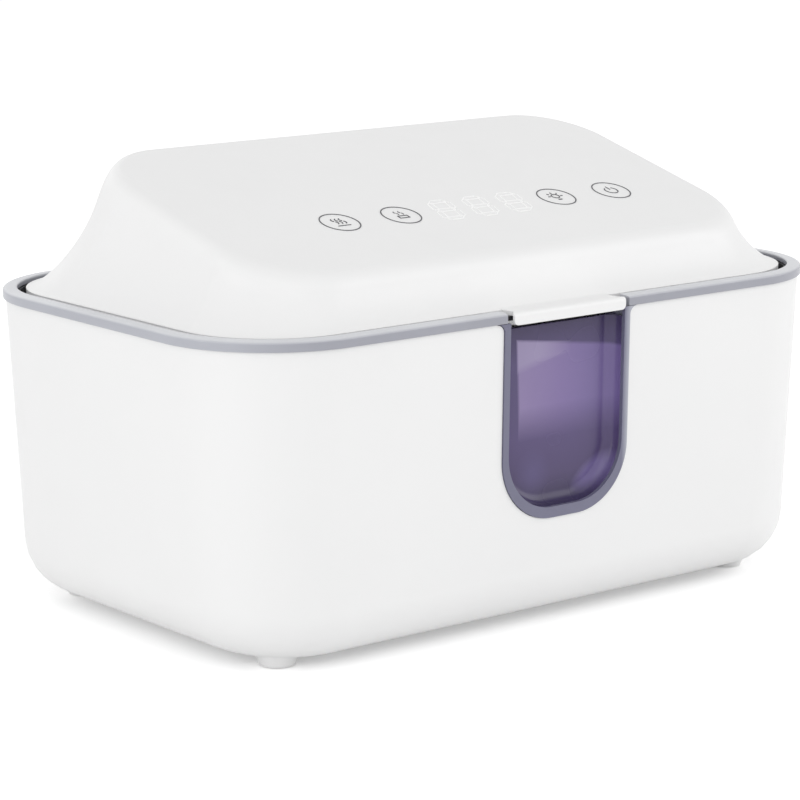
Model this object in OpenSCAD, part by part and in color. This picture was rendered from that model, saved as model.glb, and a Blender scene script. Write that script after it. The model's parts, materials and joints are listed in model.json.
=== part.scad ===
// Baby wipe warmer: a tapered white tub with a grey rim and a purple window, a hinged lid
// with touch controls, a dark wipes compartment and a heater below it.
// Millimetres. The origin lies on the table under the middle, +Z is up, the front faces -Y.

/* [Housing] */
// Width over the grey rim
body_w = 230; // [215:1:250]
// Depth over the grey rim
body_d = 144; // [134:1:160]
// Corner radius of the rim, seen from above
corner_r = 36; // [32:1:40]
// Height of the white housing, from its underside to the rim
housing_h = 89.5; // [84:0.5:105]
// Housing wall thickness
wall = 2.2; // [1.8:0.1:2.4]
// How far each short side leans in from top to bottom
side_draft = 6.3; // [4:0.1:8]
// How far the front and the back lean in from top to bottom
face_draft = 1.6; // [1:0.1:3]
// Radius of the rounded bottom edge
base_fillet = 15; // [12:0.5:17]

/* [Base] */
// Height of the housing's underside above the table
foot_h = 3; // [2.6:0.1:5]
// Distance between feet, left to right
foot_span_x = 174; // [166:1:180]
// Distance between feet, front to back
foot_span_y = 97; // [92:1:102]
// Diameter of a foot at its bottom
foot_d = 10.5; // [10:0.5:12]
// Diameter of a foot where it meets the housing
foot_root_d = 15; // [13:0.5:16]
// Diameter of a rubber pad
pad_d = 8; // [6:0.5:9]
// Thickness of a rubber pad
pad_t = 1.6; // [1.2:0.1:2]
// How far a pad stands below its foot
pad_proud = 0.4; // [0.2:0.1:0.8]
// Width of the base plate
plate_w = 152; // [140:1:156]
// Depth of the base plate
plate_d = 77; // [70:1:80]
// Corner radius of the base plate
plate_r = 10; // [6:1:14]
// Thickness of the base plate
plate_t = 2; // [1.6:0.1:2.4]
// Width of the ledge that the base plate screws to
ledge_w = 5; // [4.5:0.1:6]
// Thickness of that ledge
ledge_t = 2.2; // [1.8:0.1:2.6]
// Length of a vent slot
vent_l = 24; // [16:1:30]
// Width of a vent slot
vent_w = 2.4; // [1.6:0.1:3]
// Number of vent slots in each group
vent_count = 5; // [3:1:6]

/* [Rim] */
// Width of the rim, seen from above
rim_w = 4.2; // [3.8:0.1:4.6]
// Height of the rim
rim_h = 4; // [3.6:0.1:4.6]
// How far the rim stands out from the housing
rim_proud = 0.8; // [0.5:0.1:1]
// Thickness of the rim's outer lip
rim_lip = 1.8; // [1.6:0.1:2]
// Height of the rim's upright outer face
rim_face_h = 2.7; // [2.2:0.1:3]

/* [Window] */
// Width of the grey window frame
window_w = 47.6; // [42:0.2:54]
// Depth of the window frame, from the rim down
window_depth = 58.9; // [52:0.1:66]
// Radius of the frame's lower corners
window_r = 19; // [16:0.5:20]
// Width of the frame's edge at its sides
frame_wall = 2.1; // [1.8:0.1:2.8]
// Width of the frame's edge at its bottom
frame_bottom = 3.2; // [1.8:0.1:4]
// How far the frame stands out from the housing
frame_proud = 0.5; // [0.2:0.1:0.8]
// Radius of the fillet between frame and rim
frame_fillet = 2.5; // [1.5:0.1:3.5]
// Width of the frame's flange behind the housing wall
frame_flange = 3.5; // [2.5:0.1:4]
// Thickness of that flange
flange_t = 1.3; // [1:0.1:1.6]
// Depth of the purple pane behind the housing's face
pane_recess = 4.8; // [4.4:0.1:5.2]
// Thickness of the pane
pane_t = 1.8; // [1.4:0.1:2.2]
// Thickness of the pane's side walls, with their play
pane_wall = 1; // [0.9:0.1:1.2]
// Depth of the frame's front lip, which the pane's side walls stand behind
frame_lip = 1.2; // [1:0.1:2.6]
// Distance of the pane's top edge below the rim
pane_top_drop = 3; // [2.8:0.1:5]
// Width of the ledge behind the pane
pane_ledge = 1.2; // [0.8:0.1:1.6]

/* [Wipes tank] */
// Gap between the faces of housing and tank, measured at the outer faces
tank_gap = 10; // [9.6:0.1:11]
// Wall thickness of the tank
tank_wall = 1.8; // [1.4:0.1:2.2]
// Height of the tank's floor above the table
tank_floor_z = 22; // [21:0.5:28]
// Thickness of the tank's floor
tank_floor_t = 2; // [1.6:0.1:2.4]
// Radius between the tank's floor and its walls
tank_fillet = 8; // [6:0.5:10]
// Distance of the tank's lip below the top of the rim
lip_drop = 4.5; // [4:0.1:5]
// Depth of the channel round the lip, below the lip
channel_drop = 6.5; // [5:0.1:8]
// Thickness of the channel's outer wall and floor
channel_wall = 1.5; // [1.2:0.1:1.6]
// Thickness of the flange that rests on the housing
tank_flange_t = 1.2; // [0.8:0.1:1.4]
// Distance of the top edge of the tank's window opening below the rim
tank_window_drop = 7; // [6:0.5:12]

/* [Lid] */
// Distance from the housing's face to the lid's skirt
skirt_inset = 6; // [5.6:0.1:6.4]
// Height of the skirt's top edge above the rim's underside
skirt_rise = 4.5; // [4:0.1:6]
// Height of the skirt
skirt_h = 6.6; // [6:0.1:7]
// Wall thickness of the lid
lid_wall = 2.2; // [1.8:0.1:2.4]
// Width of the sloping top panel, between its sharp edges
top_w = 187; // [175:1:195]
// Depth of the top panel, between its sharp edges, seen from above
top_d = 95.2; // [86:0.2:100]
// Distance of the panel's middle in front of the lid's middle
top_forward = 8.1; // [5:0.1:10]
// Corner radius of the top panel
top_corner_r = 25; // [20:0.5:32]
// Height of the panel's sharp back edge above the top of the rim
lid_rise = 39; // [34:0.5:50]
// Slope of the top panel, in degrees
top_slope = 15.2; // [10:0.1:18]
// How far the edge rounding reaches in over the top panel
top_round = 4; // [2:0.5:8]
// Gap between the front tab and each leg of the window frame
tab_leg_gap = 0.5; // [0.4:0.1:3]
// How far the tab stands out from the rim
tab_proud = 0.6; // [0.4:0.1:1]
// Distance of the tab's bottom edge below the top of the rim
tab_drop = 4.7; // [4:0.1:6]
// Thickness of the tab
tab_t = 2.2; // [1.8:0.1:2.4]
// Thickness of the tab at its ends, which are bevelled at the back
tab_end_t = 0.8; // [0.8:0.1:1.8]
// Distance of the tab's top below the top of the rim
tab_top_drop = 1.1; // [0.6:0.1:1.2]
// Radius of the tab's rounded top edge
tab_round = 1.2; // [0.8:0.1:1.6]
// Radius of the tab's rounded lower corners
tab_corner_r = 1.5; // [0.5:0.1:2]
// Gap between the tab and each end of the rim
tab_side_gap = 1.9; // [1:0.1:2.4]
// Thickness of the lid's inner panel
inner_panel_t = 1.6; // [1.2:0.1:1.6]
// Width of the sealing ring
seal_w = 3; // [2.4:0.1:3.6]
// Thickness of the sealing ring
seal_t = 2; // [1.6:0.1:2]
// Gap between the sealing ring and the lip
seal_gap = 0.3; // [0.2:0.05:0.5]
// Distance between the inner panel's screws, left to right
lid_screw_span_x = 148; // [130:1:152]
// Distance between them, front to back
lid_screw_span_y = 80; // [78:0.5:82]

/* [Hinge] */
// Radius of a hinge knuckle
knuckle_r = 3.5; // [3.3:0.1:3.6]
// Height of the hinge axis above the rim's underside
hinge_rise = 4.5; // [4.2:0.1:5]
// Distance from the middle to the inner face of each hinge
hinge_x = 30; // [26:1:36]
// Length of the housing's inner knuckle
inner_knuckle_l = 8; // [7:0.5:10]
// Length of the lid's knuckle
lid_knuckle_l = 18.4; // [16:0.2:22]
// Length of the housing's outer knuckle
outer_knuckle_l = 7; // [6:0.5:9]
// Diameter of a hinge pin
pin_d = 3; // [2.5:0.1:3.2]
// Length of a hinge pin inside the lid's knuckle
pin_reach = 8; // [6:0.5:9]
// Outer diameter of the hollow spigot on the lid's knuckle
spigot_d = 4.6; // [4.4:0.1:4.8]
// Length of the spigot inside the housing's knuckle
spigot_l = 1.8; // [1.4:0.1:2.2]
// Depth of the housing's hinge blocks below the rim
hinge_block_drop = 14.5; // [10:0.5:18]

/* [Touch controls] */
// Diameter of the ring round a touch key
icon_d = 12.4; // [10:0.2:14]
// Line width of a printed ring
icon_line = 0.35; // [0.3:0.05:0.8]
// Thickness of the print
print_t = 0.12; // [0.08:0.01:0.2]
// Sideways place of the row of keys
row_x = 6; // [0:0.5:8]
// Place of the row on the slope, from the panel's middle
row_y = -17.8; // [-24:0.2:-10]
// Distance from the row's middle to an inner key
key_inner_x = 30; // [28:0.5:33]
// Distance from an inner key to the outer one
key_pitch = 22.4; // [18:0.2:26]
// Height of a digit
digit_h = 14.2; // [11:0.2:15]
// Width of a digit
digit_w = 8.8; // [7:0.2:9.4]
// Distance from digit to digit
digit_pitch = 13; // [11:0.2:13.4]
// Slant of the digits, in degrees
digit_slant = 11; // [0:1:14]
// Width of a digit's segment
segment_w = 2.2; // [1.8:0.1:2.8]
// Line width of a segment's outline
segment_line = 0.35; // [0.25:0.05:0.5]

/* [Electronics] */
// Width of the touch board
touch_board_w = 146; // [138:1:150]
// Depth of the touch board
touch_board_d = 34; // [30:1:38]
// Thickness of both circuit boards
board_t = 1.6; // [1:0.1:1.6]
// Height of the contact pads between lid and touch board
contact_t = 3; // [2.6:0.1:3.4]
// Diameter of a contact pad
contact_d = 10; // [8:0.5:12]
// Width of the display module
display_w = 39; // [37:0.5:42]
// Depth of the display module
display_d = 18; // [16:0.5:20]
// Width of the main board
main_board_w = 76; // [70:1:80]
// Depth of the main board
main_board_d = 44; // [40:1:50]
// Distance of the main board's middle behind the middle of the base
main_board_y = 10; // [4:1:12]
// Height of the posts under the main board
post_h = 3; // [2.4:0.1:3]
// Diameter of the threaded barrel of the power inlet
inlet_d = 8; // [7.8:0.1:8.4]
// Bore of the power inlet
inlet_bore_d = 6.3; // [5.8:0.1:6.4]
// Diameter of the inlet's centre pin
inlet_pin_d = 2; // [1.6:0.1:2.6]
// Sideways place of the power inlet
inlet_x = -60; // [-66:1:-50]
// Height of the power inlet above the table
inlet_z = 27; // [26:0.5:34]

/* [Heater] */
// Width of the aluminium heating plate
heater_w = 150; // [120:1:160]
// Depth of the aluminium heating plate
heater_d = 84; // [70:1:90]
// Thickness of the heating plate
heater_t = 1; // [0.8:0.1:1.2]
// Thickness of the heating film
film_t = 0.4; // [0.3:0.05:0.6]
// Thickness of the foam under the film
foam_t = 4; // [3:0.5:4.5]

/* [Hidden] */

$fn = 48;
white = [0.94, 0.94, 0.94];
trim_grey = [0.62, 0.63, 0.68];
purple = [0.45, 0.38, 0.58, 0.7];
charcoal = [0.16, 0.16, 0.18];
steel = [0.75, 0.76, 0.78];

eps = 0.01;
fit = 0.15;        // play between fitted plastic pieces
part_gap = 0.3;    // gap between pieces that move past each other
run_gap = 0.05;    // radial running clearance of the hinge
arc_steps = 9;     // flats in each rounded corner
bend_steps = 6;    // flats in each rounded edge
lid_bend_steps = 12;   // flats in the rounded edge of the lid's top

rim_z = foot_h + housing_h;          // underside of the rim
rim_top = rim_z + rim_h;
floor_in_z = foot_h + plate_t + fit + ledge_t;   // inner floor of the housing
lip_z = rim_top - lip_drop;
channel_z = lip_z - channel_drop;
skirt_top = rim_z + skirt_rise;
skirt_bottom = skirt_top - skirt_h;

seal_bottom = lip_z + seal_gap;
inner_panel_z = seal_bottom + seal_t;
inner_panel_top = inner_panel_z + inner_panel_t;

hinge_y = body_d/2 + tab_proud - knuckle_r;
hinge_z = rim_z + hinge_rise;
lid_knuckle_x = hinge_x + inner_knuckle_l + part_gap;
outer_knuckle_x = lid_knuckle_x + lid_knuckle_l + part_gap;
hinge_end_x = outer_knuckle_x + outer_knuckle_l;
lead_hole_d = pin_d + 2*run_gap;
hinge_side_gap = 0.6;   // gap between a hinge and the rim at its sides

face_tilt = atan(face_draft / housing_h);
tank_face = tank_gap*cos(face_tilt);    // depth of the tank's front face
tray_depth = tank_gap - 2*fit - 0.5;   // depth of the window frame's tunnel
frame_in_w = window_w - 2*frame_wall;
frame_in_depth = window_depth - frame_bottom;
lip_back = frame_proud - frame_lip;    // back of the frame's lip, from the front face
tab_w = frame_in_w - 2*tab_leg_gap;
tank_window_w = frame_in_w - 2*pane_ledge - 0.8;

screw_d = 2.6;
screw_head_d = 5;
screw_head_t = 1.6;
small_screw_d = 2;
small_head_d = 3.8;
small_head_t = 1.3;
base_screw_l = 8;
lid_screw_l = 8;
board_screw_in = 4;   // distance of a board's screws from its edges
boss_d = 7;
small_boss_d = 5.6;
pilot_ratio = 0.85;   // pilot hole to screw diameter
lead_d = 2;

// ---------- shared shapes ----------

// Half sizes and corner radius of the housing's outer face at height z
function lean(z) = (rim_z - z) / housing_h;
function half_x(z) = body_w/2 - rim_proud - side_draft*lean(z);
function half_y(z) = body_d/2 - rim_proud - face_draft*lean(z);
function corner(z) = corner_r - rim_proud - (side_draft + face_draft)/2*lean(z);

// Rounded rectangle of points, counter-clockwise, with the same count at any size
function rounded_ring(hx, hy, r, z, yc = 0) =
    [for (q = [0:3], k = [0:arc_steps])
        let (a = 90*q + 90*k/arc_steps,
             sx = (q == 0 || q == 3) ? 1 : -1,
             sy = (q < 2) ? 1 : -1)
        [sx*(hx - r) + r*cos(a), yc + sy*(hy - r) + r*sin(a), z]];

// Ring that follows the housing's face at height z, moved inward by inset
function housing_ring(z, inset = 0) =
    rounded_ring(half_x(z) - inset, half_y(z) - inset, max(corner(z) - inset, 2), z);

// Ring at height z with the size that the housing has at the rim, moved inward by inset
function upright_ring(z, inset) =
    rounded_ring(half_x(rim_z) - inset, half_y(rim_z) - inset, corner(rim_z) - inset, z);

// Rings of a rounded bottom edge with radius r, above height z, moved inward by inset
function edge_rings(z, r, inset = 0) =
    [for (k = [0:bend_steps])
        let (t = 90*k/bend_steps)
        housing_ring(z + r*(1 - cos(t)), inset + r*(1 - sin(t)))];

function reversed(list) = [for (i = [len(list) - 1:-1:0]) list[i]];

function band_faces(n, a, b) =
    [for (i = [0:n - 1])
        let (j = (i + 1) % n)
        [a*n + i, b*n + i, b*n + j, a*n + j]];

function band_triangles(n, a, b) =
    [for (f = band_faces(n, a, b)) each [[f[0], f[1], f[2]], [f[0], f[2], f[3]]]];

// Solid between stacked rings, closed by a flat face at each end
module stacked_rings(rings) {
    n = len(rings[0]);
    m = len(rings);
    polyhedron(
        points = [for (ring = rings) each ring],
        faces = concat([[for (i = [0:n - 1]) i]],
                       [for (j = [0:m - 2]) each band_faces(n, j, j + 1)],
                       [[for (i = [n - 1:-1:0]) (m - 1)*n + i]]));
}

// Solid whose section runs through the rings and back to the first one
module looped_rings(rings) {
    n = len(rings[0]);
    m = len(rings);
    polyhedron(
        points = [for (ring = rings) each ring],
        faces = [for (j = [0:m - 1]) each band_faces(n, j, (j + 1) % m)]);
}

module rounded_plate(w, d, r, h) {
    linear_extrude(h) rounded_rect(w, d, r);
}

module rounded_rect(w, d, r) {
    square([w - 2*r, d], center = true);
    square([w, d - 2*r], center = true);
    for (x = [-1, 1], y = [-1, 1])
        translate([x*(w/2 - r), y*(d/2 - r)]) circle(r);
}

// Outline of the window or one parallel to it: w wide, with two round lower corners at
// depth below the line y = 0, and open edges that stand rise above that line
module u_outline(w, depth, rise = 0) {
    r = window_r + (w - window_w)/2;
    translate([-w/2, r - depth]) square([w, depth - r + rise]);
    translate([r - w/2, -depth]) square([w - 2*r, 2*r]);
    for (s = [-1, 1]) translate([s*(w/2 - r), r - depth]) circle(r);
}

// Frame of the front face: x to the right, y up the face from the rim, z outward
module on_front() {
    translate([0, -half_y(rim_z), rim_z]) rotate([90 + face_tilt, 0, 0]) children();
}

function on_front_point(p) =
    [p[0],
     -half_y(rim_z) - p[1]*sin(face_tilt) - p[2]*cos(face_tilt),
     rim_z + p[1]*cos(face_tilt) - p[2]*sin(face_tilt)];

// Frame of the back face at (x, z): y up the face, z outward
module on_back(x, z) {
    translate([x, half_y(z), z]) rotate([-90 - face_tilt, 0, 0]) rotate([0, 0, 180]) children();
}

function top_y() = -top_forward;
function top_plane_z(y) = rim_top + lid_rise + (y - top_y() - top_d/2)*tan(top_slope);

// Frame of the lid's sloping top: x to the right, y up the slope, z outward
module on_top() {
    translate([0, top_y(), top_plane_z(top_y())]) rotate([top_slope, 0, 0]) children();
}

function on_top_point(p) =
    [p[0],
     top_y() + p[1]*cos(top_slope) - p[2]*sin(top_slope),
     top_plane_z(top_y()) + p[1]*sin(top_slope) + p[2]*cos(top_slope)];

// Cylinder along X from x1 to x2 on the hinge axis
module axis_rod(x1, x2, d) {
    translate([min(x1, x2), hinge_y, hinge_z]) rotate([0, 90, 0]) cylinder(d = d, h = abs(x2 - x1));
}

// Lead of diameter d through a list of points
function unit(v) = v / norm(v);
function tangent(path, i) =
    unit(path[min(i + 1, len(path) - 1)] - path[max(i - 1, 0)]);
function side_vector(t) = unit(cross(t, abs(t[2]) < 0.9 ? [0, 0, 1] : [0, 1, 0]));
function carried(v, t) = unit(v - (v*t)*t);
function side_vectors(path, i = 0, last = undef) =
    i >= len(path) ? [] :
    let (t = tangent(path, i),
         v = is_undef(last) ? side_vector(t) : carried(last, t))
    concat([v], side_vectors(path, i + 1, v));

module lead(path, d, sides = 8) {
    sv = side_vectors(path);
    rings = [for (i = [0:len(path) - 1])
        let (t = tangent(path, i), u = sv[i], w = cross(t, u))
        [for (k = [0:sides - 1])
            path[i] + d/2*(cos(360*k/sides)*u + sin(360*k/sides)*w)]];
    polyhedron(
        points = [for (ring = rings) each ring],
        faces = concat([[for (i = [0:sides - 1]) i]],
                       [for (j = [0:len(path) - 2]) each band_triangles(sides, j, j + 1)],
                       [[for (i = [sides - 1:-1:0]) (len(path) - 1)*sides + i]]));
}

module screw(d, l, head_d, head_t) {
    translate([0, 0, -head_t*0.4]) cylinder(d = d, h = l + head_t*0.4);
    difference() {
        translate([0, 0, -head_t]) cylinder(d = head_d, h = head_t);
        for (a = [0, 90])
            rotate([0, 0, a]) translate([0, 0, -head_t])
                cube([head_d*0.55, head_d*0.14, head_t], center = true);
    }
}

// ---------- housing and base ----------

module feet_places() {
    for (x = [-1, 1], y = [-1, 1])
        translate([x*foot_span_x/2, y*foot_span_y/2, 0]) children();
}

// Places of the six base plate screws, on the middle of the ledge
module base_screw_places() {
    x_side = plate_w/2 - ledge_w/2;
    y_side = plate_d/2 - ledge_w/2;
    for (x = [-1, 0, 1], y = [-1, 1])
        translate([x*(x_side - plate_r), y*y_side, 0]) children();
}

foot_bottom = pad_proud;
ledge_z = foot_h + plate_t + fit;
base_boss_h = 8;

module housing() color(white) {
    outer = concat(edge_rings(foot_h, base_fillet), [housing_ring(rim_z)]);
    inner_r = base_fillet - wall;
    inner = concat([housing_ring(rim_z, wall)], reversed(edge_rings(floor_in_z, inner_r, wall)));
    hole_w = plate_w - 2*ledge_w;
    hole_d = plate_d - 2*ledge_w;
    hole_r = max(plate_r - ledge_w, 3);
    recess = [for (z = [ledge_z, foot_h])
        rounded_ring(plate_w/2 + fit, plate_d/2 + fit, plate_r, z)];
    hole = [for (z = [floor_in_z, ledge_z]) rounded_ring(hole_w/2, hole_d/2, hole_r, z)];
    difference() {
        union() {
            looped_rings(concat(hole, recess, outer, inner));
            feet_places()
                translate([0, 0, foot_bottom])
                    cylinder(d1 = foot_d, d2 = foot_root_d, h = floor_in_z - foot_bottom - 1);
            base_screw_places()
                translate([0, 0, ledge_z]) cylinder(d = boss_d, h = base_boss_h);
            for (s = [-1, 1]) hinge_blocks(s);
        }
        feet_places()
            cylinder(d = pad_d + 2*fit, h = pad_t + eps);
        base_screw_places()
            cylinder(d = screw_d*pilot_ratio, h = ledge_z + base_boss_h - 1);
        on_front()
            translate([0, 0, -wall - 3])
                linear_extrude(wall + 6) frame_outline(fit);
        on_back(inlet_x, inlet_z)
            translate([0, 0, -wall - 2]) cylinder(d = inlet_d + 2*run_gap, h = wall + 4);
        for (s = [-1, 1]) hinge_bores(s);
    }
}

// Blocks on the back wall that carry the hinge knuckles, at side s
module hinge_blocks(s) {
    block_y = hinge_y - knuckle_r;
    block_back = half_y(rim_z) - 0.7;
    spans = [[hinge_x, inner_knuckle_l], [outer_knuckle_x, outer_knuckle_l]];
    for (span = spans) {
        x1 = s > 0 ? span[0] : -span[0] - span[1];
        translate([x1, block_y, rim_z - hinge_block_drop])
            cube([span[1], block_back - block_y, hinge_z - rim_z + hinge_block_drop]);
        axis_rod(x1, x1 + span[1], 2*knuckle_r);
    }
}

module hinge_bores(s) {
    bore_start = hinge_x + inner_knuckle_l - spigot_l - 3.7;
    axis_rod(s*bore_start, s*(hinge_x + inner_knuckle_l + part_gap/2), spigot_d + 2*run_gap);
    axis_rod(s*(outer_knuckle_x - part_gap/2), s*(hinge_end_x + 1), pin_d);
    translate([s*lead_riser_x, lead_riser_y, riser_z])
        cylinder(d = lead_d + 1.4, h = hinge_z + 1 - riser_z);
}

lead_riser_x = hinge_x + inner_knuckle_l/2;
lead_riser_y = hinge_y - 1.1;
riser_z = rim_z - hinge_block_drop - 8;   // bottom of the lead's groove in the back wall

module base_plate() color(white) {
    w = plate_w;
    d = plate_d;
    z0 = ledge_z - plate_t;
    difference() {
        union() {
            translate([0, 0, z0]) rounded_plate(w, d, plate_r, plate_t);
            main_board_posts()
                translate([0, 0, ledge_z - eps]) cylinder(d = small_boss_d, h = post_h + eps);
        }
        base_screw_places() {
            translate([0, 0, z0 - 1]) cylinder(d = screw_d + 2*fit, h = plate_t + 2);
            translate([0, 0, z0 - 1]) cylinder(d = screw_head_d + 2*fit, h = 1 + head_sink);
        }
        main_board_posts()
            translate([0, 0, z0 + 0.8])
                cylinder(d = small_screw_d*pilot_ratio, h = plate_t + post_h + 1);
        for (s = [-1, 1], k = [0:vent_count - 1])
            translate([s*(w/2 - vent_l/2 - ledge_w - 2), (k - (vent_count - 1)/2)*3*vent_w, z0 - 1])
                rounded_plate(vent_l, vent_w, vent_w/2 - 0.05, plate_t + 2);
    }
}

head_sink = 1;

module main_board_posts() {
    for (x = [-1, 1], y = [-1, 1])
        translate([x*(main_board_w/2 - board_screw_in),
                   main_board_y + y*(main_board_d/2 - board_screw_in), 0])
            children();
}

module base_screws() color(steel) {
    base_screw_places()
        translate([0, 0, ledge_z - plate_t + head_sink])
            screw(screw_d*pilot_ratio, base_screw_l, screw_head_d, min(screw_head_t, head_sink + 0.1));
}

module rubber_feet() color([0.8, 0.8, 0.8]) {
    feet_places() cylinder(d = pad_d, h = pad_t);
}

// ---------- rim and window ----------

module rim_collar() color(trim_grey) {
    slope_in = rim_w - 0.5;
    section = [
        [0, 0], [0, rim_face_h], [0.35, rim_face_h + 0.45], [1.1, rim_face_h + 0.8],
        [slope_in, rim_h], [rim_w, rim_h - 0.3], [rim_w, tank_flange_t + fit],
        [rim_lip, tank_flange_t + fit], [rim_lip, 0]];
    cut_x = hinge_x - hinge_side_gap;
    cut_l = hinge_end_x + hinge_side_gap - cut_x;
    strip_h = 0.7;
    strip_w = 1.1;
    difference() {
        looped_rings([for (p = section)
            rounded_ring(body_w/2 - p[0], body_d/2 - p[0], corner_r - p[0], rim_z + p[1])]);
        translate([-tab_w/2 - tab_side_gap, -body_d, rim_z - 1])
            cube([tab_w + 2*tab_side_gap, body_d, rim_h + 2]);
        for (s = [0, 1]) mirror([s, 0, 0]) {
            translate([cut_x, body_d/4, rim_z - 1])
                cube([cut_l, body_d/4 - strip_w, rim_h + 2]);
            translate([cut_x, body_d/4, rim_z + strip_h]) cube([cut_l, body_d/4 + 1, rim_h]);
        }
    }
}

// Low dark bar behind the tab, between both ends of the rim
module rim_bridge() color(charcoal) {
    translate([-tab_w/2 - tab_side_gap, -body_d/2 + tab_t + part_gap, rim_z + fit])
        cube([tab_w + 2*tab_side_gap, rim_w - tab_t - part_gap, bar_h]);
}

bar_h = 1.2;

// Outline of the window frame on the front face, grown by extra
module frame_outline(extra = 0) {
    rise = extra > 0 ? rim_h : -fit;
    centre = [window_w/2 + frame_fillet, -fit - frame_fillet];
    u_outline(window_w + 2*extra, window_depth + extra, rise);
    for (s = [0, 1]) mirror([s, 0, 0]) difference() {
        translate([window_w/2 - eps, centre[1]])
            square([frame_fillet + extra + eps, rise - centre[1]]);
        translate(centre) circle(frame_fillet - extra);
    }
}

module window_bezel() color(trim_grey) {
    on_front() difference() {
        union() {
            translate([0, 0, -tray_depth])
                linear_extrude(tray_depth - wall)
                    u_outline(window_w, window_depth, skirt_bottom - part_gap - rim_z - fit);
            translate([0, 0, -wall - fit]) linear_extrude(wall + fit + frame_proud) frame_outline();
            translate([0, 0, -wall - part_gap - flange_t]) linear_extrude(flange_t)
                u_outline(window_w + 2*frame_flange, window_depth + frame_flange, -1);
        }
        // Opening in front of the pane, pocket for the pane, opening behind it
        translate([0, 0, lip_back - eps])
            linear_extrude(frame_lip + 1) u_outline(frame_in_w, frame_in_depth, 5);
        translate([0, 0, -pane_recess - pane_t - fit])
            linear_extrude(lip_back + pane_recess + pane_t + fit)
                u_outline(frame_in_w + 2*pane_wall, frame_in_depth + pane_wall, 5);
        translate([0, 0, -tray_depth - 1])
            linear_extrude(tray_depth)
                u_outline(frame_in_w - 2*pane_ledge, frame_in_depth - pane_ledge, 5);
        // Hole in one leg for the lamp's lead
        translate([frame_in_w/2 - pane_ledge - 1, lamp_y, lamp_lead_z])
            rotate([0, 90, 0]) cylinder(d = thin_lead_d + 0.8, h = frame_wall + pane_ledge + 2);
    }
}

module window_pane() color(purple) {
    play = pane_wall - fit;
    on_front() difference() {
        translate([0, 0, -pane_recess - pane_t])
            linear_extrude(pane_recess + pane_t + lip_back - fit)
                u_outline(frame_in_w + 2*play, frame_in_depth + play, -pane_top_drop);
        translate([0, 0, -pane_recess])
            linear_extrude(pane_recess + 1) u_outline(frame_in_w, frame_in_depth, 1);
    }
}

module window_seal() color(charcoal) {
    w_in = frame_in_w - 2*pane_ledge;
    d_in = frame_in_depth - pane_ledge;
    on_front()
        translate([0, 0, -tank_face])
            linear_extrude(tank_face - tray_depth)
                difference() {
                    u_outline(w_in + 2*seal_wall, d_in + seal_wall, -channel_mouth);
                    u_outline(w_in, d_in, 1);
                }
}

seal_wall = 2;
channel_mouth = 1;

// ---------- tank and heater ----------

module inner_tank() color(charcoal) {
    out_in = wall + part_gap;
    flange_edge = rim_lip - rim_proud + fit;
    under = tank_floor_z - tank_floor_t;
    channel_in = out_in + channel_wall;
    outer = concat(edge_rings(under, tank_fillet + tank_wall, tank_gap),
                   [housing_ring(channel_z - channel_wall, tank_gap),
                    housing_ring(channel_z - channel_wall, out_in),
                    housing_ring(rim_z, out_in)],
                   [housing_ring(rim_z, flange_edge)],
                   [upright_ring(rim_z + tank_flange_t, flange_edge),
                    upright_ring(rim_z + tank_flange_t, channel_in)]);
    inner = concat([housing_ring(channel_z, channel_in),
                    housing_ring(channel_z, tank_gap),
                    housing_ring(lip_z, tank_gap),
                    housing_ring(lip_z, tank_gap + tank_wall)],
                   reversed(edge_rings(tank_floor_z, tank_fillet, tank_gap + tank_wall)));
    difference() {
        stacked_rings(concat(outer, inner));
        on_front() {
            translate([0, 0, -tank_gap + eps]) linear_extrude(tank_gap + 3)
                u_outline(window_w + 2*frame_flange + 2*part_gap,
                          window_depth + frame_flange + part_gap, 2*rim_h);
            translate([0, 0, -tank_gap - tank_wall - 3]) linear_extrude(tank_wall + 6)
                u_outline(tank_window_w, frame_in_depth - pane_ledge - 1,
                          -tank_window_drop);
        }
        for (s = [0, 1]) mirror([s, 0, 0])
            translate([hinge_x - hinge_side_gap, hinge_y - knuckle_r - part_gap,
                       rim_z - hinge_block_drop - 1])
                cube([hinge_end_x - hinge_x + 2*hinge_side_gap, 3*knuckle_r, 2*hinge_block_drop]);
    }
}

heater_z = tank_floor_z - tank_floor_t - heater_t;
film_z = heater_z - film_t;
foam_z = film_z - foam_t;
sensor_pocket = [12, 15];
fuse_pocket = [26, 12];
heater_r = 6;         // corner radius of the plate
film_inset = 4;       // distance from the plate's edge to the film's
foam_inset = 2;       // distance from the plate's edge to the foam's
soft_r = 5;           // corner radius of film and foam
sensor_x = -40;
fuse_x = 40;

module heater_plate() color(steel) {
    translate([0, 0, heater_z]) rounded_plate(heater_w, heater_d, heater_r, heater_t);
}

module heater_film() color([0.78, 0.45, 0.15]) {
    translate([0, 0, film_z]) linear_extrude(film_t)
        difference() {
            union() {
                rounded_rect(heater_w - 2*film_inset, heater_d - 2*film_inset, soft_r);
                translate([film_tab_x - film_tab_w/2, 0]) square([film_tab_w, film_tab_y]);
            }
            translate([sensor_x, 0]) square(sensor_pocket, center = true);
            translate([fuse_x, 0]) square(fuse_pocket, center = true);
        }
}

film_tab_x = 40;
film_tab_w = 16;
film_tab_y = heater_d/2 + 4;

module insulation_pad() color([0.35, 0.35, 0.37]) {
    translate([0, 0, foam_z])
        difference() {
            rounded_plate(heater_w - 2*foam_inset, heater_d - 2*foam_inset, soft_r, foam_t);
            translate([sensor_x, 0, -1])
                linear_extrude(foam_t + 2) square(sensor_pocket, center = true);
            translate([fuse_x, 0, -1])
                linear_extrude(foam_t + 2) square(fuse_pocket, center = true);
        }
}

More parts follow.
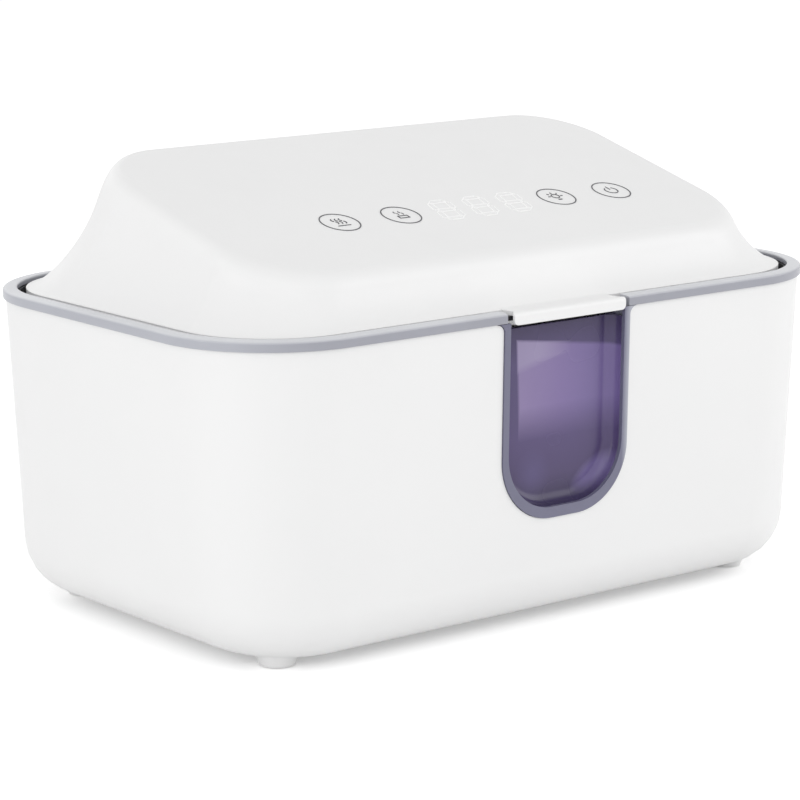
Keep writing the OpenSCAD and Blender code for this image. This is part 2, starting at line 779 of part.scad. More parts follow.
module thermistor() color([0.1, 0.1, 0.1]) {
    translate([sensor_x, 0, heater_z - sensor_t]) {
        cylinder(d = sensor_d, h = sensor_t);
        translate([-sensor_neck/2, -sensor_l/2, sensor_t - 2]) cube([sensor_neck, sensor_l/2, 1.6]);
    }
}

sensor_t = 2.4;
sensor_d = 6;
sensor_neck = 2.4;    // width of the part that the lead leaves
sensor_l = 7;

module thermal_fuse() color([0.85, 0.82, 0.7]) {
    translate([fuse_x, 0, fuse_axis_z]) rotate([0, 90, 0]) {
        cylinder(d = fuse_d, h = fuse_l, center = true);
        cylinder(d = fuse_leg_d, h = 2*fuse_leg_x, center = true);
    }
}

fuse_d = 3.5;
fuse_l = 11;
fuse_leg_d = 0.8;
fuse_axis_z = heater_z - fuse_d/2;
fuse_leg_x = 10;

// ---------- electronics in the base ----------

board_z = ledge_z + post_h;

module main_board() color([0.05, 0.35, 0.2]) {
    translate([0, main_board_y, board_z])
        difference() {
            rounded_plate(main_board_w, main_board_d, 2, board_t);
            translate([0, -main_board_y, 0]) main_board_posts()
                translate([0, 0, -1]) cylinder(d = small_screw_d + 0.4, h = board_t + 2);
        }
}

part_h = 3.6;         // height of a connector on the main board
plug_l = 6;
plug_w = 10;
board_top_z = board_z + board_t;
plug_z = board_top_z + part_h/2;
back_plug_y = main_board_y + main_board_d/2 - 2;     // outer face of the connectors at the back
front_plug_y = main_board_y - main_board_d/2 + 2;    // outer face of the connectors at the front
back_plugs = [-22, 10, 25];   // power, lid and heater
front_plugs = [-15, 15];      // temperature sensor and lamp

module board_parts() color([0.12, 0.12, 0.12]) {
    for (x = back_plugs)
        translate([x - plug_w/2, back_plug_y - plug_l, board_top_z]) cube([plug_w, plug_l, part_h]);
    for (x = front_plugs)
        translate([x - plug_w/2, front_plug_y, board_top_z]) cube([plug_w, plug_l, part_h]);
    translate([cap_x, main_board_y, board_top_z]) cylinder(d = cap_d, h = part_h);
    translate([chip_x, main_board_y - chip[1]/2, board_top_z]) cube(chip);
    for (x = switch_x) translate([x, main_board_y - switch[1]/2, board_top_z]) cube(switch);
}

cap_x = -27;          // capacitor
cap_d = 7;
chip_x = -6;          // controller
chip = [9, 9, 1.6];
switch_x = [12, 21];  // power switches for heater and lamp
switch = [6, 8, 2.2];

module board_screws() color(steel) {
    main_board_posts()
        translate([0, 0, board_z + board_t]) mirror([0, 0, 1])
            screw(small_screw_d*pilot_ratio, board_t + post_h, small_head_d, small_head_t);
}

inlet_flange_d = 11.5;
inlet_flange_t = 1.4;
inlet_len = 7.8;      // barrel length behind the outer face
nut_t = 2.2;
nut_d = 12.5;         // over its corners

module dc_inlet() color([0.12, 0.12, 0.12]) {
    on_back(inlet_x, inlet_z) {
        difference() {
            union() {
                cylinder(d = inlet_flange_d, h = inlet_flange_t);
                translate([0, 0, -inlet_len]) cylinder(d = inlet_d, h = inlet_len + eps);
            }
            translate([0, 0, -inlet_len + 1]) cylinder(d = inlet_bore_d, h = inlet_len + 3);
        }
        translate([0, 0, -inlet_len + eps]) cylinder(d = inlet_pin_d, h = inlet_len);
        translate([-tag_w/2, -inlet_d/2 - tag_l, -inlet_len + 0.2]) cube([tag_w, tag_l + 1, 0.8]);
    }
}

tag_w = 3;    // solder tag below the inlet's inner end
tag_l = 2.4;

module inlet_nut() color(steel) {
    on_back(inlet_x, inlet_z)
        translate([0, 0, -wall - nut_t])
            difference() {
                cylinder(d = nut_d, h = nut_t, $fn = 6);
                translate([0, 0, -1]) cylinder(d = inlet_d, h = nut_t + 2);
            }
}

// Leads, each from its connector to the piece that it serves
module power_lead() color([0.1, 0.1, 0.1]) {
    end = [back_plugs[0], back_plug_y, plug_z];
    start = [inlet_x, half_y(inlet_z) - inlet_len + 0.7, inlet_z - inlet_d/2 - tag_l - 0.1];
    lead([start,
          start + [0, -0.2, -3],
          start + [2, -2, -6],
          [inlet_x + 12, 53, plug_z + 2],
          [-28, 40, plug_z],
          end + [0, 4, 0],
          end], lead_d);
}

thin_lead_d = 1.6;

module heater_leads() color([0.75, 0.15, 0.1]) {
    r = thin_lead_d/2;
    plug = [back_plugs[2], back_plug_y, plug_z];
    below = foam_z - r - part_gap;
    far = fuse_x + fuse_leg_x;
    near = fuse_x - fuse_leg_x;
    end_gap = 0.05;
    // From the board to the fuse
    lead([plug + [2, 0, 0],
          plug + [2, 3, 0],
          plug + [6, 5.6, -0.8],
          plug + [16, 6.2, -1],
          [far - 3, 28, below - 0.6],
          [far + 1, 14, below],
          [far + 1.6, 4, below],
          [far + 1.7, 1.2, below + 0.7],
          [far + 1.7, 0.2, foam_z + 1],
          [far + 1.4, 0, fuse_axis_z - 0.7],
          [far + 0.8, 0, fuse_axis_z],
          [far + end_gap, 0, fuse_axis_z]], thin_lead_d);
    // From the fuse to the film
    lead([[near - end_gap, 0, fuse_axis_z],
          [near - 0.8, 0, fuse_axis_z],
          [near - 1.4, 0, fuse_axis_z - 0.7],
          [near - 1.7, 0.2, foam_z + 1],
          [near - 1.5, 1.2, below + 0.7],
          [near, 4, below],
          [near + 5, 30, below],
          [film_tab_x + 3.4, heater_d/2, below],
          [film_tab_x + 4, film_tab_y - 0.4, foam_z + 0.6],
          [film_tab_x + 4, film_tab_y - 0.6, film_z - r - 1.6],
          [film_tab_x + 4, film_tab_y - 1.8, film_z - r - end_gap]], thin_lead_d);
    // From the film back to the board
    lead([[film_tab_x - 4, film_tab_y - 1.8, film_z - r - end_gap],
          [film_tab_x - 4, film_tab_y - 0.6, film_z - r - 1.6],
          [film_tab_x - 4.4, film_tab_y - 0.4, foam_z + 0.6],
          [film_tab_x - 6, film_tab_y - 1.6, plug_z + 1.2],
          [plug[0] + 1, back_plug_y + 10, plug_z],
          plug + [-2, 5, 0],
          plug + [-2, 0, 0]], thin_lead_d);
}

module sensor_lead() color([0.2, 0.2, 0.2]) {
    below = foam_z - thin_lead_d/2 - part_gap;
    end = [front_plugs[0], front_plug_y, plug_z];
    lead([[sensor_x, -sensor_l/2 - 0.05, heater_z - 1.2],
          [sensor_x, -sensor_l/2 - 0.8, heater_z - 1.2],
          [sensor_x + 0.3, -sensor_l/2 - 1.9, heater_z - 2],
          [sensor_x + 0.8, -sensor_l/2 - 2.2, foam_z + 1],
          [sensor_x + 2, -sensor_l/2 - 2.4, below + 0.4],
          [sensor_x + 8, -11, below - 0.4],
          [-22, -16, plug_z + 0.3],
          end + [0, -4, 0],
          end], thin_lead_d);
}

module lamp_lead() color([0.9, 0.75, 0.2]) {
    end = [front_plugs[1], front_plug_y, plug_z];
    x = window_w/2 + 2.1;
    deep = -half_y(60) + 7.2;
    lead([on_front_point([lamp_w/2 + 0.05, lamp_y, lamp_lead_z]),
          on_front_point([lamp_w/2 + 2, lamp_y, lamp_lead_z]),
          on_front_point([x - 1.6, lamp_y, lamp_lead_z]),
          on_front_point([x - 0.3, lamp_y - 0.7, lamp_lead_z + 0.3]),
          on_front_point([x, lamp_y - 2.6, lamp_lead_z + 0.8]),
          [x, deep, 78],
          [x, -half_y(30) + 7.2, 30],
          [x, -half_y(20) + 8.6, 21],
          [x - 0.6, -half_y(20) + 13, 16],
          [x - 2, -half_y(20) + 19, 13],
          [20, -30, 12],
          end + [0, -5, 0],
          end], thin_lead_d);
}

module signal_lead() color([0.9, 0.9, 0.9]) {
    end = [back_plugs[1], back_plug_y, plug_z];
    x = lead_riser_x;
    y = lead_riser_y;
    lead([end,
          end + [0, 5, 0],
          [16, 46, plug_z + 0.6],
          [26, 56, plug_z + 3],
          [x - 1, half_y(30) - wall - 4.2, 27],
          [x, half_y(60) - wall - 1.7, 55],
          [x, y - 0.3, riser_z + 2],
          [x, y, riser_z + 6],
          [x, y, hinge_z - 4],
          [x + 0.4, y + 0.3, hinge_z - 1.8],
          [x + 1.4, y + 0.8, hinge_z - 0.5],
          [x + 3, hinge_y, hinge_z],
          [lead_meet_x, hinge_y, hinge_z]], lead_d);
}

lead_meet_x = lid_knuckle_x + 5.7;   // where the body's lead meets the lid's, on the hinge axis

// Lamp strip on the front of the tank's lip, behind the top of the pane
lamp_w = 34;
lamp_h = 3.6;
lamp_t = 1;
lamp_y = -4.6;        // height of its middle on the front face, from the rim
lamp_lead_z = -8.2;   // depth of its lead behind the front face
lamp_die = [3, 2.4, 1];
lamp_plug = [3, 3, 1.8];

module night_light() color([0.95, 0.95, 0.9]) {
    on_front() translate([0, lamp_y, -tank_face]) {
        translate([-lamp_w/2, -lamp_h/2, 0]) cube([lamp_w, lamp_h, lamp_t]);
        for (x = [-1, 0, 1])
            translate([x*lamp_w/3 - lamp_die[0]/2, -lamp_die[1]/2, lamp_t - eps])
                cube([lamp_die[0], lamp_die[1], lamp_die[2] + eps]);
        translate([lamp_w/2 - lamp_plug[0], -lamp_plug[1]/2, lamp_t - eps])
            cube([lamp_plug[0], lamp_plug[1], lamp_plug[2] + eps]);
    }
}

// ---------- hinge ----------

module hinge_pins() color(steel) {
    for (s = [-1, 1])
        axis_rod(s*(outer_knuckle_x - part_gap - pin_reach), s*hinge_end_x, pin_d);
}

// Knuckle, arm, stop rib and spigot that belong to the lid, at side s
module lid_hinge(s) {
    x1 = lid_knuckle_x;
    skirt_y = half_y(rim_z) - skirt_inset;
    axis_rod(s*x1, s*(x1 + lid_knuckle_l), 2*knuckle_r);
    axis_rod(s*(x1 - part_gap - spigot_l), s*(x1 + eps), spigot_d);
    arm = [[hinge_y, hinge_z + knuckle_r], [hinge_y, hinge_z - knuckle_r],
           [skirt_y - lid_wall/2, hinge_z - knuckle_r],
           [skirt_y - lid_wall/2, skirt_top - 0.5],
           [skirt_y - 7.4, skirt_top + 2.7],
           [skirt_y - 7.4, hinge_z + knuckle_r - 0.2]];
    translate([s > 0 ? x1 : -x1 - lid_knuckle_l, 0, 0])
        rotate([90, 0, 90]) linear_extrude(lid_knuckle_l) polygon(arm);
    translate([s*(x1 + lid_knuckle_l/2), hinge_y, hinge_z])
        rotate([stop_angle, 0, 0])
            translate([-stop_l/2, 0, -stop_t/2]) cube([stop_l, knuckle_r + stop_reach, stop_t]);
}

// The stop rib meets the low strip of the rim when the lid stands fully open
stop_angle = 55;
stop_l = 10;
stop_t = 1.6;
stop_reach = 1.4;

module lid_hinge_bore(s) {
    x1 = lid_knuckle_x - part_gap - spigot_l - 1;
    axis_rod(s*x1, s*(lid_knuckle_x + lid_knuckle_l + 1), lead_hole_d);
    translate([s*lid_lead_x, hinge_y, hinge_z])
        rotate([90, 0, 0]) cylinder(d = lead_hole_d, h = 15);
}

lid_lead_x = lead_meet_x + 2.4;

// ---------- lid ----------

// The lid's flare runs from the skirt (0, 0) towards the panel's sharp edge (1, 1)
flare_start = [0.19, 0];
flare_end = [0.85, 0.70];
flare_pull = 0.4;
flare_steps = 7;
function bezier3(a, b, c, d, t) =
    pow(1 - t, 3)*a + 3*pow(1 - t, 2)*t*b + 3*(1 - t)*t*t*c + t*t*t*d;
function bezier2(a, b, c, t) = pow(1 - t, 2)*a + 2*(1 - t)*t*b + t*t*c;
function flare(t) =
    bezier3([0, 0], flare_start, flare_end - flare_pull*unit([1, 1] - flare_end), flare_end, t);

// Rings of the lid's outer face (inset 0) or inner face (inset lid_wall), from the skirt up
function lid_rings(inset) =
    let (drop = inset/cos(top_slope),
         skirt = skirt_ring(skirt_top - drop, inset),
         edge = top_edge(inset*0.7, drop),
         flat = top_edge(inset*0.7 + top_round, drop))
    concat(
        [for (k = [0:flare_steps])
            let (uv = flare(k/flare_steps))
            flare_ring(skirt, edge, uv)],
        [for (k = [1:lid_bend_steps])
            let (low = flare_ring(skirt, edge, flare_end))
            [for (i = [0:len(low) - 1]) bezier2(low[i], edge[i], flat[i], k/lid_bend_steps)]]);

function flare_ring(skirt, edge, uv) =
    [for (i = [0:len(skirt) - 1])
        let (p = skirt[i], q = edge[i])
        [p[0] + (q[0] - p[0])*uv[0], p[1] + (q[1] - p[1])*uv[0], p[2] + (q[2] - p[2])*uv[1]]];

function top_edge(inset, drop) =
    [for (p = rounded_ring(top_w/2 - inset, top_d/2 - inset, max(top_corner_r - inset, 3), 0, top_y()))
        [p[0], p[1], top_plane_z(p[1]) - drop]];

function skirt_ring(z, inset) = upright_ring(z, skirt_inset + inset);

module lid_outer() {
    stacked_rings(concat([skirt_ring(skirt_bottom, 0)], lid_rings(0)));
}

module lid_inner() {
    stacked_rings(concat([skirt_ring(skirt_bottom - 1, lid_wall)], lid_rings(lid_wall)));
}

module lid_screw_places() {
    for (x = [-1, 0, 1], y = [-1, 1])
        translate([x*lid_screw_span_x/2, top_y() + y*lid_screw_span_y/2, 0]) children();
}

module lid_bosses() {
    for (x = [-1, 0, 1], y = [-1, 1]) {
        py = top_y() + y*lid_screw_span_y/2;
        top = top_plane_z(py - boss_d/2) - lid_wall/3;
        translate([x*lid_screw_span_x/2, py, inner_panel_top])
            cylinder(d = boss_d, h = top - inner_panel_top);
    }
}

tab_edge = 0.6;       // bevel along the tab's lower front edge

module tab() {
    y_out = -body_d/2 - tab_proud;
    y_skirt = -half_y(rim_z) + skirt_inset + lid_wall/2;
    z_low = rim_top - tab_drop;
    z_high = rim_top - tab_top_drop;
    bridge_z = rim_z + fit + bar_h + part_gap;
    root = front_flare(0.12);
    section = concat(
        [[y_out + tab_edge, z_low], [y_out, z_low + tab_edge]],
        [for (a = [0:15:75]) [y_out, z_high - tab_round] + tab_round*[1 - cos(a), sin(a)]],
        [[y_skirt - 3.2, z_high + 0.3], [y_skirt - 1.2, skirt_top], root,
         [y_skirt + 0.3, skirt_top - lid_wall/2], [y_skirt, bridge_z],
         [y_out + tab_t, bridge_z], [y_out + tab_t, z_low]]);
    back_w = tab_w - 2*(tab_t - tab_end_t);
    intersection() {
        translate([-tab_w/2, 0, 0]) rotate([90, 0, 90]) linear_extrude(tab_w) polygon(section);
        translate([0, 0, z_low + 10]) rotate([90, 0, 0])
            linear_extrude(body_d) rounded_rect(tab_w, 20, tab_corner_r);
        translate([0, y_out, z_low - 1]) linear_extrude(20)
            polygon([[-tab_w/2, -1], [tab_w/2, -1], [tab_w/2, tab_end_t], [back_w/2, tab_t],
                     [back_w/2, body_d/4], [-back_w/2, body_d/4], [-back_w/2, tab_t],
                     [-tab_w/2, tab_end_t]]);
    }
}

// Point (y, z) of the lid's outer face on the front middle line, at place t of the flare
function front_flare(t) =
    let (uv = flare(t),
         edge_y = top_y() - top_d/2,
         skirt_y = -half_y(rim_z) + skirt_inset)
    [skirt_y + (edge_y - skirt_y)*uv[0], skirt_top + (top_plane_z(edge_y) - skirt_top)*uv[1]];

module lid_shell() color(white) {
    difference() {
        union() {
            difference() {
                lid_outer();
                lid_inner();
            }
            tab();
            lid_bosses();
            on_top() touch_board_places()
                translate([0, 0, -lid_wall - contact_t])
                    cylinder(d = small_boss_d, h = contact_t + lid_wall/2);
            for (s = [-1, 1]) lid_hinge(s);
        }
        lid_screw_places()
            translate([0, 0, inner_panel_top - 1])
                cylinder(d = screw_d*pilot_ratio, h = lid_screw_l + 1);
        on_top() touch_board_places()
            translate([0, 0, -lid_wall - contact_t - 1])
                cylinder(d = small_screw_d*pilot_ratio, h = contact_t + 1);
        for (s = [-1, 1]) lid_hinge_bore(s);
    }
}

module lid_inner_panel() color([0.9, 0.9, 0.9]) {
    inset = skirt_inset + lid_wall + 2*part_gap;
    slope = 3.6;   // width of the sloping edge, which follows the flare above it
    difference() {
        stacked_rings([upright_ring(inner_panel_z, inset),
                       upright_ring(inner_panel_z + 0.1, inset),
                       upright_ring(inner_panel_top, inset + slope)]);
        lid_screw_places()
            translate([0, 0, inner_panel_z - 1]) cylinder(d = screw_d + 0.4, h = inner_panel_t + 2);
    }
}

module lid_seal() color([0.75, 0.75, 0.78]) {
    seal_in = tank_gap + tank_wall/2 - seal_w/2;
    looped_rings([for (p = [[seal_in, seal_bottom], [seal_in, inner_panel_z],
                            [seal_in + seal_w, inner_panel_z], [seal_in + seal_w, seal_bottom]])
        upright_ring(p[1], p[0])]);
}

module lid_screws() color(steel) {
    lid_screw_places()
        translate([0, 0, inner_panel_z])
            screw(screw_d*pilot_ratio, lid_screw_l, screw_head_d, screw_head_t);
}

// ---------- lid electronics ----------

touch_board_top = -lid_wall - contact_t;
contact_play = 0.02;

module touch_board_places() {
    for (x = [-1, 1], y = [-1, 1])
        translate([row_x + x*(touch_board_w/2 - board_screw_in),
                   row_y + y*(touch_board_d/2 - board_screw_in), 0])
            children();
}

socket = [8, 5, 4];
socket_y = row_y + touch_board_d/2 - 9;

module touch_board() color([0.05, 0.35, 0.2]) {
    on_top() {
        difference() {
            translate([row_x, row_y, touch_board_top - board_t])
                rounded_plate(touch_board_w, touch_board_d, 2, board_t);
            touch_board_places()
                translate([0, 0, touch_board_top - board_t - 1])
                    cylinder(d = small_screw_d + 0.4, h = board_t + 2);
        }
        translate([lid_lead_x - socket[0]/2, socket_y - socket[1]/2,
                   touch_board_top - board_t - socket[2]])
            cube([socket[0], socket[1], socket[2] + eps]);
    }
}

module touch_board_screws() color(steel) {
    on_top() touch_board_places()
        translate([0, 0, touch_board_top - board_t])
            screw(small_screw_d*pilot_ratio, board_t + contact_t - 0.8, small_head_d, small_head_t);
}

module key_places() {
    for (s = [-1, 1], k = [0, 1])
        translate([row_x + s*(key_inner_x + k*key_pitch), row_y, 0]) children();
}

module touch_contacts() color([0.3, 0.3, 0.32]) {
    on_top() key_places()
        translate([0, 0, touch_board_top]) cylinder(d = contact_d, h = contact_t - contact_play);
}

module display_module() color([0.08, 0.08, 0.08]) {
    on_top() translate([row_x, row_y, touch_board_top])
        rounded_plate(display_w, display_d, 1, contact_t - contact_play);
}

module lid_lead() color([0.9, 0.9, 0.9]) {
    x = lid_lead_x;
    end = [x, socket_y + socket[1]/2 + 0.05, touch_board_top - board_t - socket[2]/2];
    lead([[lead_meet_x, hinge_y, hinge_z],
          [lead_meet_x + 1.2, hinge_y, hinge_z],
          [x - 0.3, hinge_y - 0.8, hinge_z],
          [x, hinge_y - 2.4, hinge_z],
          [x, hinge_y - 9, hinge_z],
          [x, hinge_y - 13, hinge_z + 0.2],
          [x, hinge_y - 19, hinge_z + 1.8],
          [x, 35, hinge_z + 8],
          on_top_point(end + [0, 14, -1]),
          on_top_point(end + [0, 4, 0]),
          on_top_point(end)], lead_d);
}

// ---------- printed marks on the lid ----------

module ring_2d(d, line) {
    difference() {
        circle(d = d);
        circle(d = d - 2*line);
    }
}

// Part of a ring between two angles, up to 180 degrees wide on each side of the middle
module arc_2d(d, line, middle, half_width) {
    reach = d;
    steps = 6;
    intersection() {
        ring_2d(d, line);
        polygon(concat([[0, 0]],
            [for (k = [0:steps])
                let (a = middle - half_width + 2*half_width*k/steps)
                reach*[cos(a), sin(a)]]));
    }
}

glyph = 5.4;   // height of a pictogram
stroke = 0.32;

module power_glyph() {
    arc_2d(glyph*0.85, stroke, -90, 145);
    translate([-stroke/2, glyph*0.1]) square([stroke, glyph*0.42]);
}

module lamp_glyph() {
    translate([0, glyph*0.08]) ring_2d(glyph*0.55, stroke);
    translate([-glyph*0.13, -glyph*0.42]) square([glyph*0.26, stroke*1.6]);
    for (a = [0:45:180])
        translate([0, glyph*0.08]) rotate(a) translate([glyph*0.36, -stroke/2])
            square([glyph*0.16, stroke]);
}

module wave_2d() {
    r = glyph*0.2;
    translate([0, r*0.9]) arc_2d(2*r, stroke, 180, 62);
    translate([-r*0.94 + stroke*0.9, -r*0.9]) arc_2d(2*r, stroke, 0, 62);
}

module heat_glyph() {
    for (x = [-1, 0, 1]) translate([x*glyph*0.26 + glyph*0.08, glyph*0.14]) wave_2d();
    translate([-glyph*0.42, -glyph*0.46]) square([glyph*0.84, stroke]);
}

module wipe_glyph() {
    translate([-glyph*0.34, -glyph*0.4]) difference() {
        square([glyph*0.68, glyph*0.34]);
        translate([stroke, stroke]) square([glyph*0.68 - 2*stroke, glyph*0.34 - 2*stroke]);
    }
    for (x = [-1, 1]) translate([x*glyph*0.16 + glyph*0.06, glyph*0.28]) scale(0.7) wave_2d();
}

module touch_icons() color([0.25, 0.25, 0.27]) {
    on_top() {
        key_places() linear_extrude(print_t) ring_2d(icon_d, icon_line);
        translate([row_x - key_inner_x - key_pitch, row_y, 0]) linear_extrude(print_t) heat_glyph();
        translate([row_x - key_inner_x, row_y, 0]) linear_extrude(print_t) wipe_glyph();
        translate([row_x + key_inner_x, row_y, 0]) linear_extrude(print_t) lamp_glyph();
        translate([row_x + key_inner_x + key_pitch, row_y, 0]) linear_extrude(print_t) power_glyph();
    }
}

// Hexagonal outline of one segment of length l, lying along x
module segment_2d(l) {
    difference() {
        segment_fill(l, segment_w);
        segment_fill(l - 2.4*segment_line, segment_w - 2*segment_line);
    }
}

module segment_fill(l, w) {
    polygon([[-l/2, 0], [-l/2 + w/2, w/2], [l/2 - w/2, w/2],
             [l/2, 0], [l/2 - w/2, -w/2], [-l/2 + w/2, -w/2]]);
}

module digit_2d() {
    gap = 0.25;
    across = digit_w - segment_w - gap;
    along = (digit_h - segment_w)/2 - gap;
    for (k = [-1, 0, 1])
        translate([k*lean_x(along), k*(digit_h - segment_w)/2]) segment_2d(across);
    for (x = [-1, 1], k = [-1, 1])
        translate([x*(digit_w - segment_w)/2 + k*lean_x(along)/2, k*(digit_h - segment_w)/4])
            rotate(90 - digit_slant) segment_2d(along);
}

function lean_x(l) = l*tan(digit_slant);

module display_digits() color([1, 1, 1]) {
    on_top()
        for (k = [-1, 0, 1])
            translate([row_x + k*digit_pitch, row_y, 0]) linear_extrude(print_t) digit_2d();
}

housing();
base_plate();
base_screws();
rubber_feet();
rim_collar();
rim_bridge();
window_bezel();
window_pane();
window_seal();
inner_tank();
heater_plate();
heater_film();
insulation_pad();
thermistor();
thermal_fuse();
main_board();
board_parts();
board_screws();
dc_inlet();
inlet_nut();
power_lead();
heater_leads();
sensor_lead();
lamp_lead();
signal_lead();
night_light();
hinge_pins();
lid_shell();
lid_inner_panel();
lid_seal();
lid_screws();
touch_board();
touch_contacts();
touch_board_screws();
display_module();
lid_lead();
touch_icons();
display_digits();
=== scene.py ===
"""Baby wipe warmer: white tub and lid, grey rim, purple window. Sizes are in millimetres."""

import json
from math import atan, cos, hypot, radians, sin, tan

import bmesh
import bpy
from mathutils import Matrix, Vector


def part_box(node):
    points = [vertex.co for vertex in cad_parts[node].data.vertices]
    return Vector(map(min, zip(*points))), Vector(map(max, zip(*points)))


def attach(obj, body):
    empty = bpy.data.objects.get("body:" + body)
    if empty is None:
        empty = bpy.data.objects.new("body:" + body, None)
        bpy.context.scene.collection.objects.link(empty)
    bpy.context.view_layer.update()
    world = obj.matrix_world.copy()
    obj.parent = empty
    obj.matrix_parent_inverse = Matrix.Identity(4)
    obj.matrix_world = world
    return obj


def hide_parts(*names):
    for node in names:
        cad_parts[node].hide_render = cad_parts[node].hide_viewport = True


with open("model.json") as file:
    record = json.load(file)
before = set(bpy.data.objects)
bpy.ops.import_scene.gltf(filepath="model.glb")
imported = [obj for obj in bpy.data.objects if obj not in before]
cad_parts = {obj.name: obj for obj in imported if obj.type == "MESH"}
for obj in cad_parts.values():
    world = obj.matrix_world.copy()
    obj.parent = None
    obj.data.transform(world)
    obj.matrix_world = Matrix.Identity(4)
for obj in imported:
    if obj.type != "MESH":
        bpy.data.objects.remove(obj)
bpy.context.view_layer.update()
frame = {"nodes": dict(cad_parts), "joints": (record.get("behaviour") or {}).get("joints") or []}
MM = 0.001

# ---------- sizes, from the frame where it has them ----------


def node_box(name):
    """Lowest and highest corner of a CAD node in millimetres."""
    low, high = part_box(name)
    return low / MM, high / MM


rim_low, rim_high = node_box("rim_collar")
lid_low = node_box("lid_shell")[0]
bridge_high = node_box("rim_bridge")[1]
HINGE = frame["joints"][0]["pos_m"]

BODY_W = rim_high.x - rim_low.x
BODY_D = rim_high.y - rim_low.y
RIM_Z = rim_low.z
RIM_TOP = rim_high.z
CORNER_R = 36
RIM_PROUD = 0.8
RIM_W = 4.2
RIM_LIP = 1.8
RIM_FACE_H = 2.1
RIM_CREST = RIM_Z + 3.1        # 0.9 mm below the CAD rim's top, as the photo shows it
HOUSING_H = 89.5
FACE_DRAFT = 1.6

TAB_W = 42.4
TAB_DROP = 4.7
TAB_TOP_DROP = 1.1
TAB_T = 2.2
TAB_END_T = 0.8
TAB_ROUND = 1.2
TAB_CORNER_R = 1.5
TAB_REACH = bridge_high.x      # half the opening in the rim, with the gaps beside the tab

SKIRT_INSET = 6
SKIRT_TOP = RIM_Z + 2.6        # 1.9 mm below the CAD lid's, so that the edge comes down to the rim
INNER_SKIRT_TOP = RIM_Z + 2.2
SKIRT_BOTTOM = RIM_Z - 2.1
LID_WALL = 2.2
TOP_W = 187
TOP_D = 95.2
TOP_Y = -8.1
TOP_CORNER_R = 25
TOP_SLOPE = radians(15.2)
TOP_ROUND = 4
LID_RISE = 39

HINGE_Y = HINGE[1] / MM
HINGE_Z = HINGE[2] / MM
KNUCKLE_R = 3.5
KNUCKLE_X = 38.3
KNUCKLE_L = 18.4

WINDOW_W = 47.6
WINDOW_R = 19
FRAME_IN_W = 43.4
FRAME_IN_DEPTH = 55.7
LIP_BACK = -0.7
PANE_RECESS = 4.8
PANE_T = 1.8
PANE_WALL = 1
PANE_TOP_DROP = 3
FIT = 0.15

CORNER_STEPS = 28
FLARE_STEPS = 28
BEND_STEPS = 12
FACE_TILT = atan(FACE_DRAFT / HOUSING_H)


# ---------- outlines ----------


def lean(z):
    return (RIM_Z - z) / HOUSING_H


def half_y(z):
    return BODY_D / 2 - RIM_PROUD - FACE_DRAFT * lean(z)


def rounded_ring(hx, hy, r, z, yc=0.0):
    """Rounded rectangle, counter-clockwise from the +X side, at height z."""
    ring = []
    for quarter, (sx, sy) in enumerate(((1, 1), (-1, 1), (-1, -1), (1, -1))):
        for k in range(CORNER_STEPS + 1):
            a = radians(90 * (quarter + k / CORNER_STEPS))
            ring.append(Vector((sx * (hx - r) + r * cos(a), yc + sy * (hy - r) + r * sin(a), z)))
    return ring


def rim_ring(inset, z):
    """Ring that lies inset within the rim's outer face."""
    return rounded_ring(BODY_W / 2 - inset, BODY_D / 2 - inset, CORNER_R - inset, z)


def upright_ring(inset, z):
    """Ring that lies inset within the housing's size at the rim."""
    return rim_ring(RIM_PROUD + inset, z)


def on_front(x, up, out):
    """Point at (x, up) on the front face, measured from the rim, and out in front of it."""
    return Vector((
        x,
        -half_y(RIM_Z) - up * sin(FACE_TILT) - out * cos(FACE_TILT),
        RIM_Z + up * cos(FACE_TILT) - out * sin(FACE_TILT),
    ))


def u_outline(width, depth, top, steps=24):
    """Points (x, up) of the window's outline or a parallel one, from its top left corner down and round."""
    r = WINDOW_R + (width - WINDOW_W) / 2
    turns = [radians(90 * k / steps) for k in range(steps + 1)]
    left = [(-(width / 2 - r) - r * cos(a), r - depth - r * sin(a)) for a in turns]
    right = [(-x, up) for x, up in reversed(left)]
    return [(-width / 2, top), *left, *right, (width / 2, top)]


def top_plane_z(y):
    return RIM_TOP + LID_RISE + (y - TOP_Y - TOP_D / 2) * tan(TOP_SLOPE)


def bezier(points, t):
    """Point at t on the Bezier curve with these control points."""
    points = [Vector(p) for p in points]
    while len(points) > 1:
        points = [a.lerp(b, t) for a, b in zip(points, points[1:])]
    return points[0]


# ---------- pieces ----------

FINISHES = {}


def material_of(slot):
    """The finish for one of the record's material slots, made once."""
    if slot not in FINISHES:
        FINISHES[slot] = SLOT_FINISH[slot](slot)
    return FINISHES[slot]


def mesh_object(name, points, faces):
    """Mesh object from points in millimetres, with its normals outward."""
    mesh = bpy.data.meshes.new(name)
    mesh.from_pydata([Vector(p) * MM for p in points], [], faces)
    bm = bmesh.new()
    bm.from_mesh(mesh)
    bmesh.ops.recalc_face_normals(bm, faces=bm.faces)
    bm.to_mesh(mesh)
    bm.free()
    obj = bpy.data.objects.new(name, mesh)
    bpy.context.scene.collection.objects.link(obj)
    return obj


def ring_object(name, rings, looped=False):
    """Solid through a list of rings: closed at both ends, or looped back to the first ring."""
    n = len(rings[0])
    points = [p for ring in rings for p in ring]
    faces = []
    for j in range(len(rings) if looped else len(rings) - 1):
        a, b = j * n, (j + 1) % len(rings) * n
        faces += [(a + i, a + (i + 1) % n, b + (i + 1) % n, b + i) for i in range(n)]
    if not looped:
        faces += [tuple(range(n)), tuple(range(len(points) - n, len(points)))]
    return mesh_object(name, points, faces)


def prism(name, outline, low, high, place):
    """Solid between an outline's copies at low and high, put in its place point by point."""
    return ring_object(name, [[place(u, v, w) for u, v in outline] for w in (low, high)])


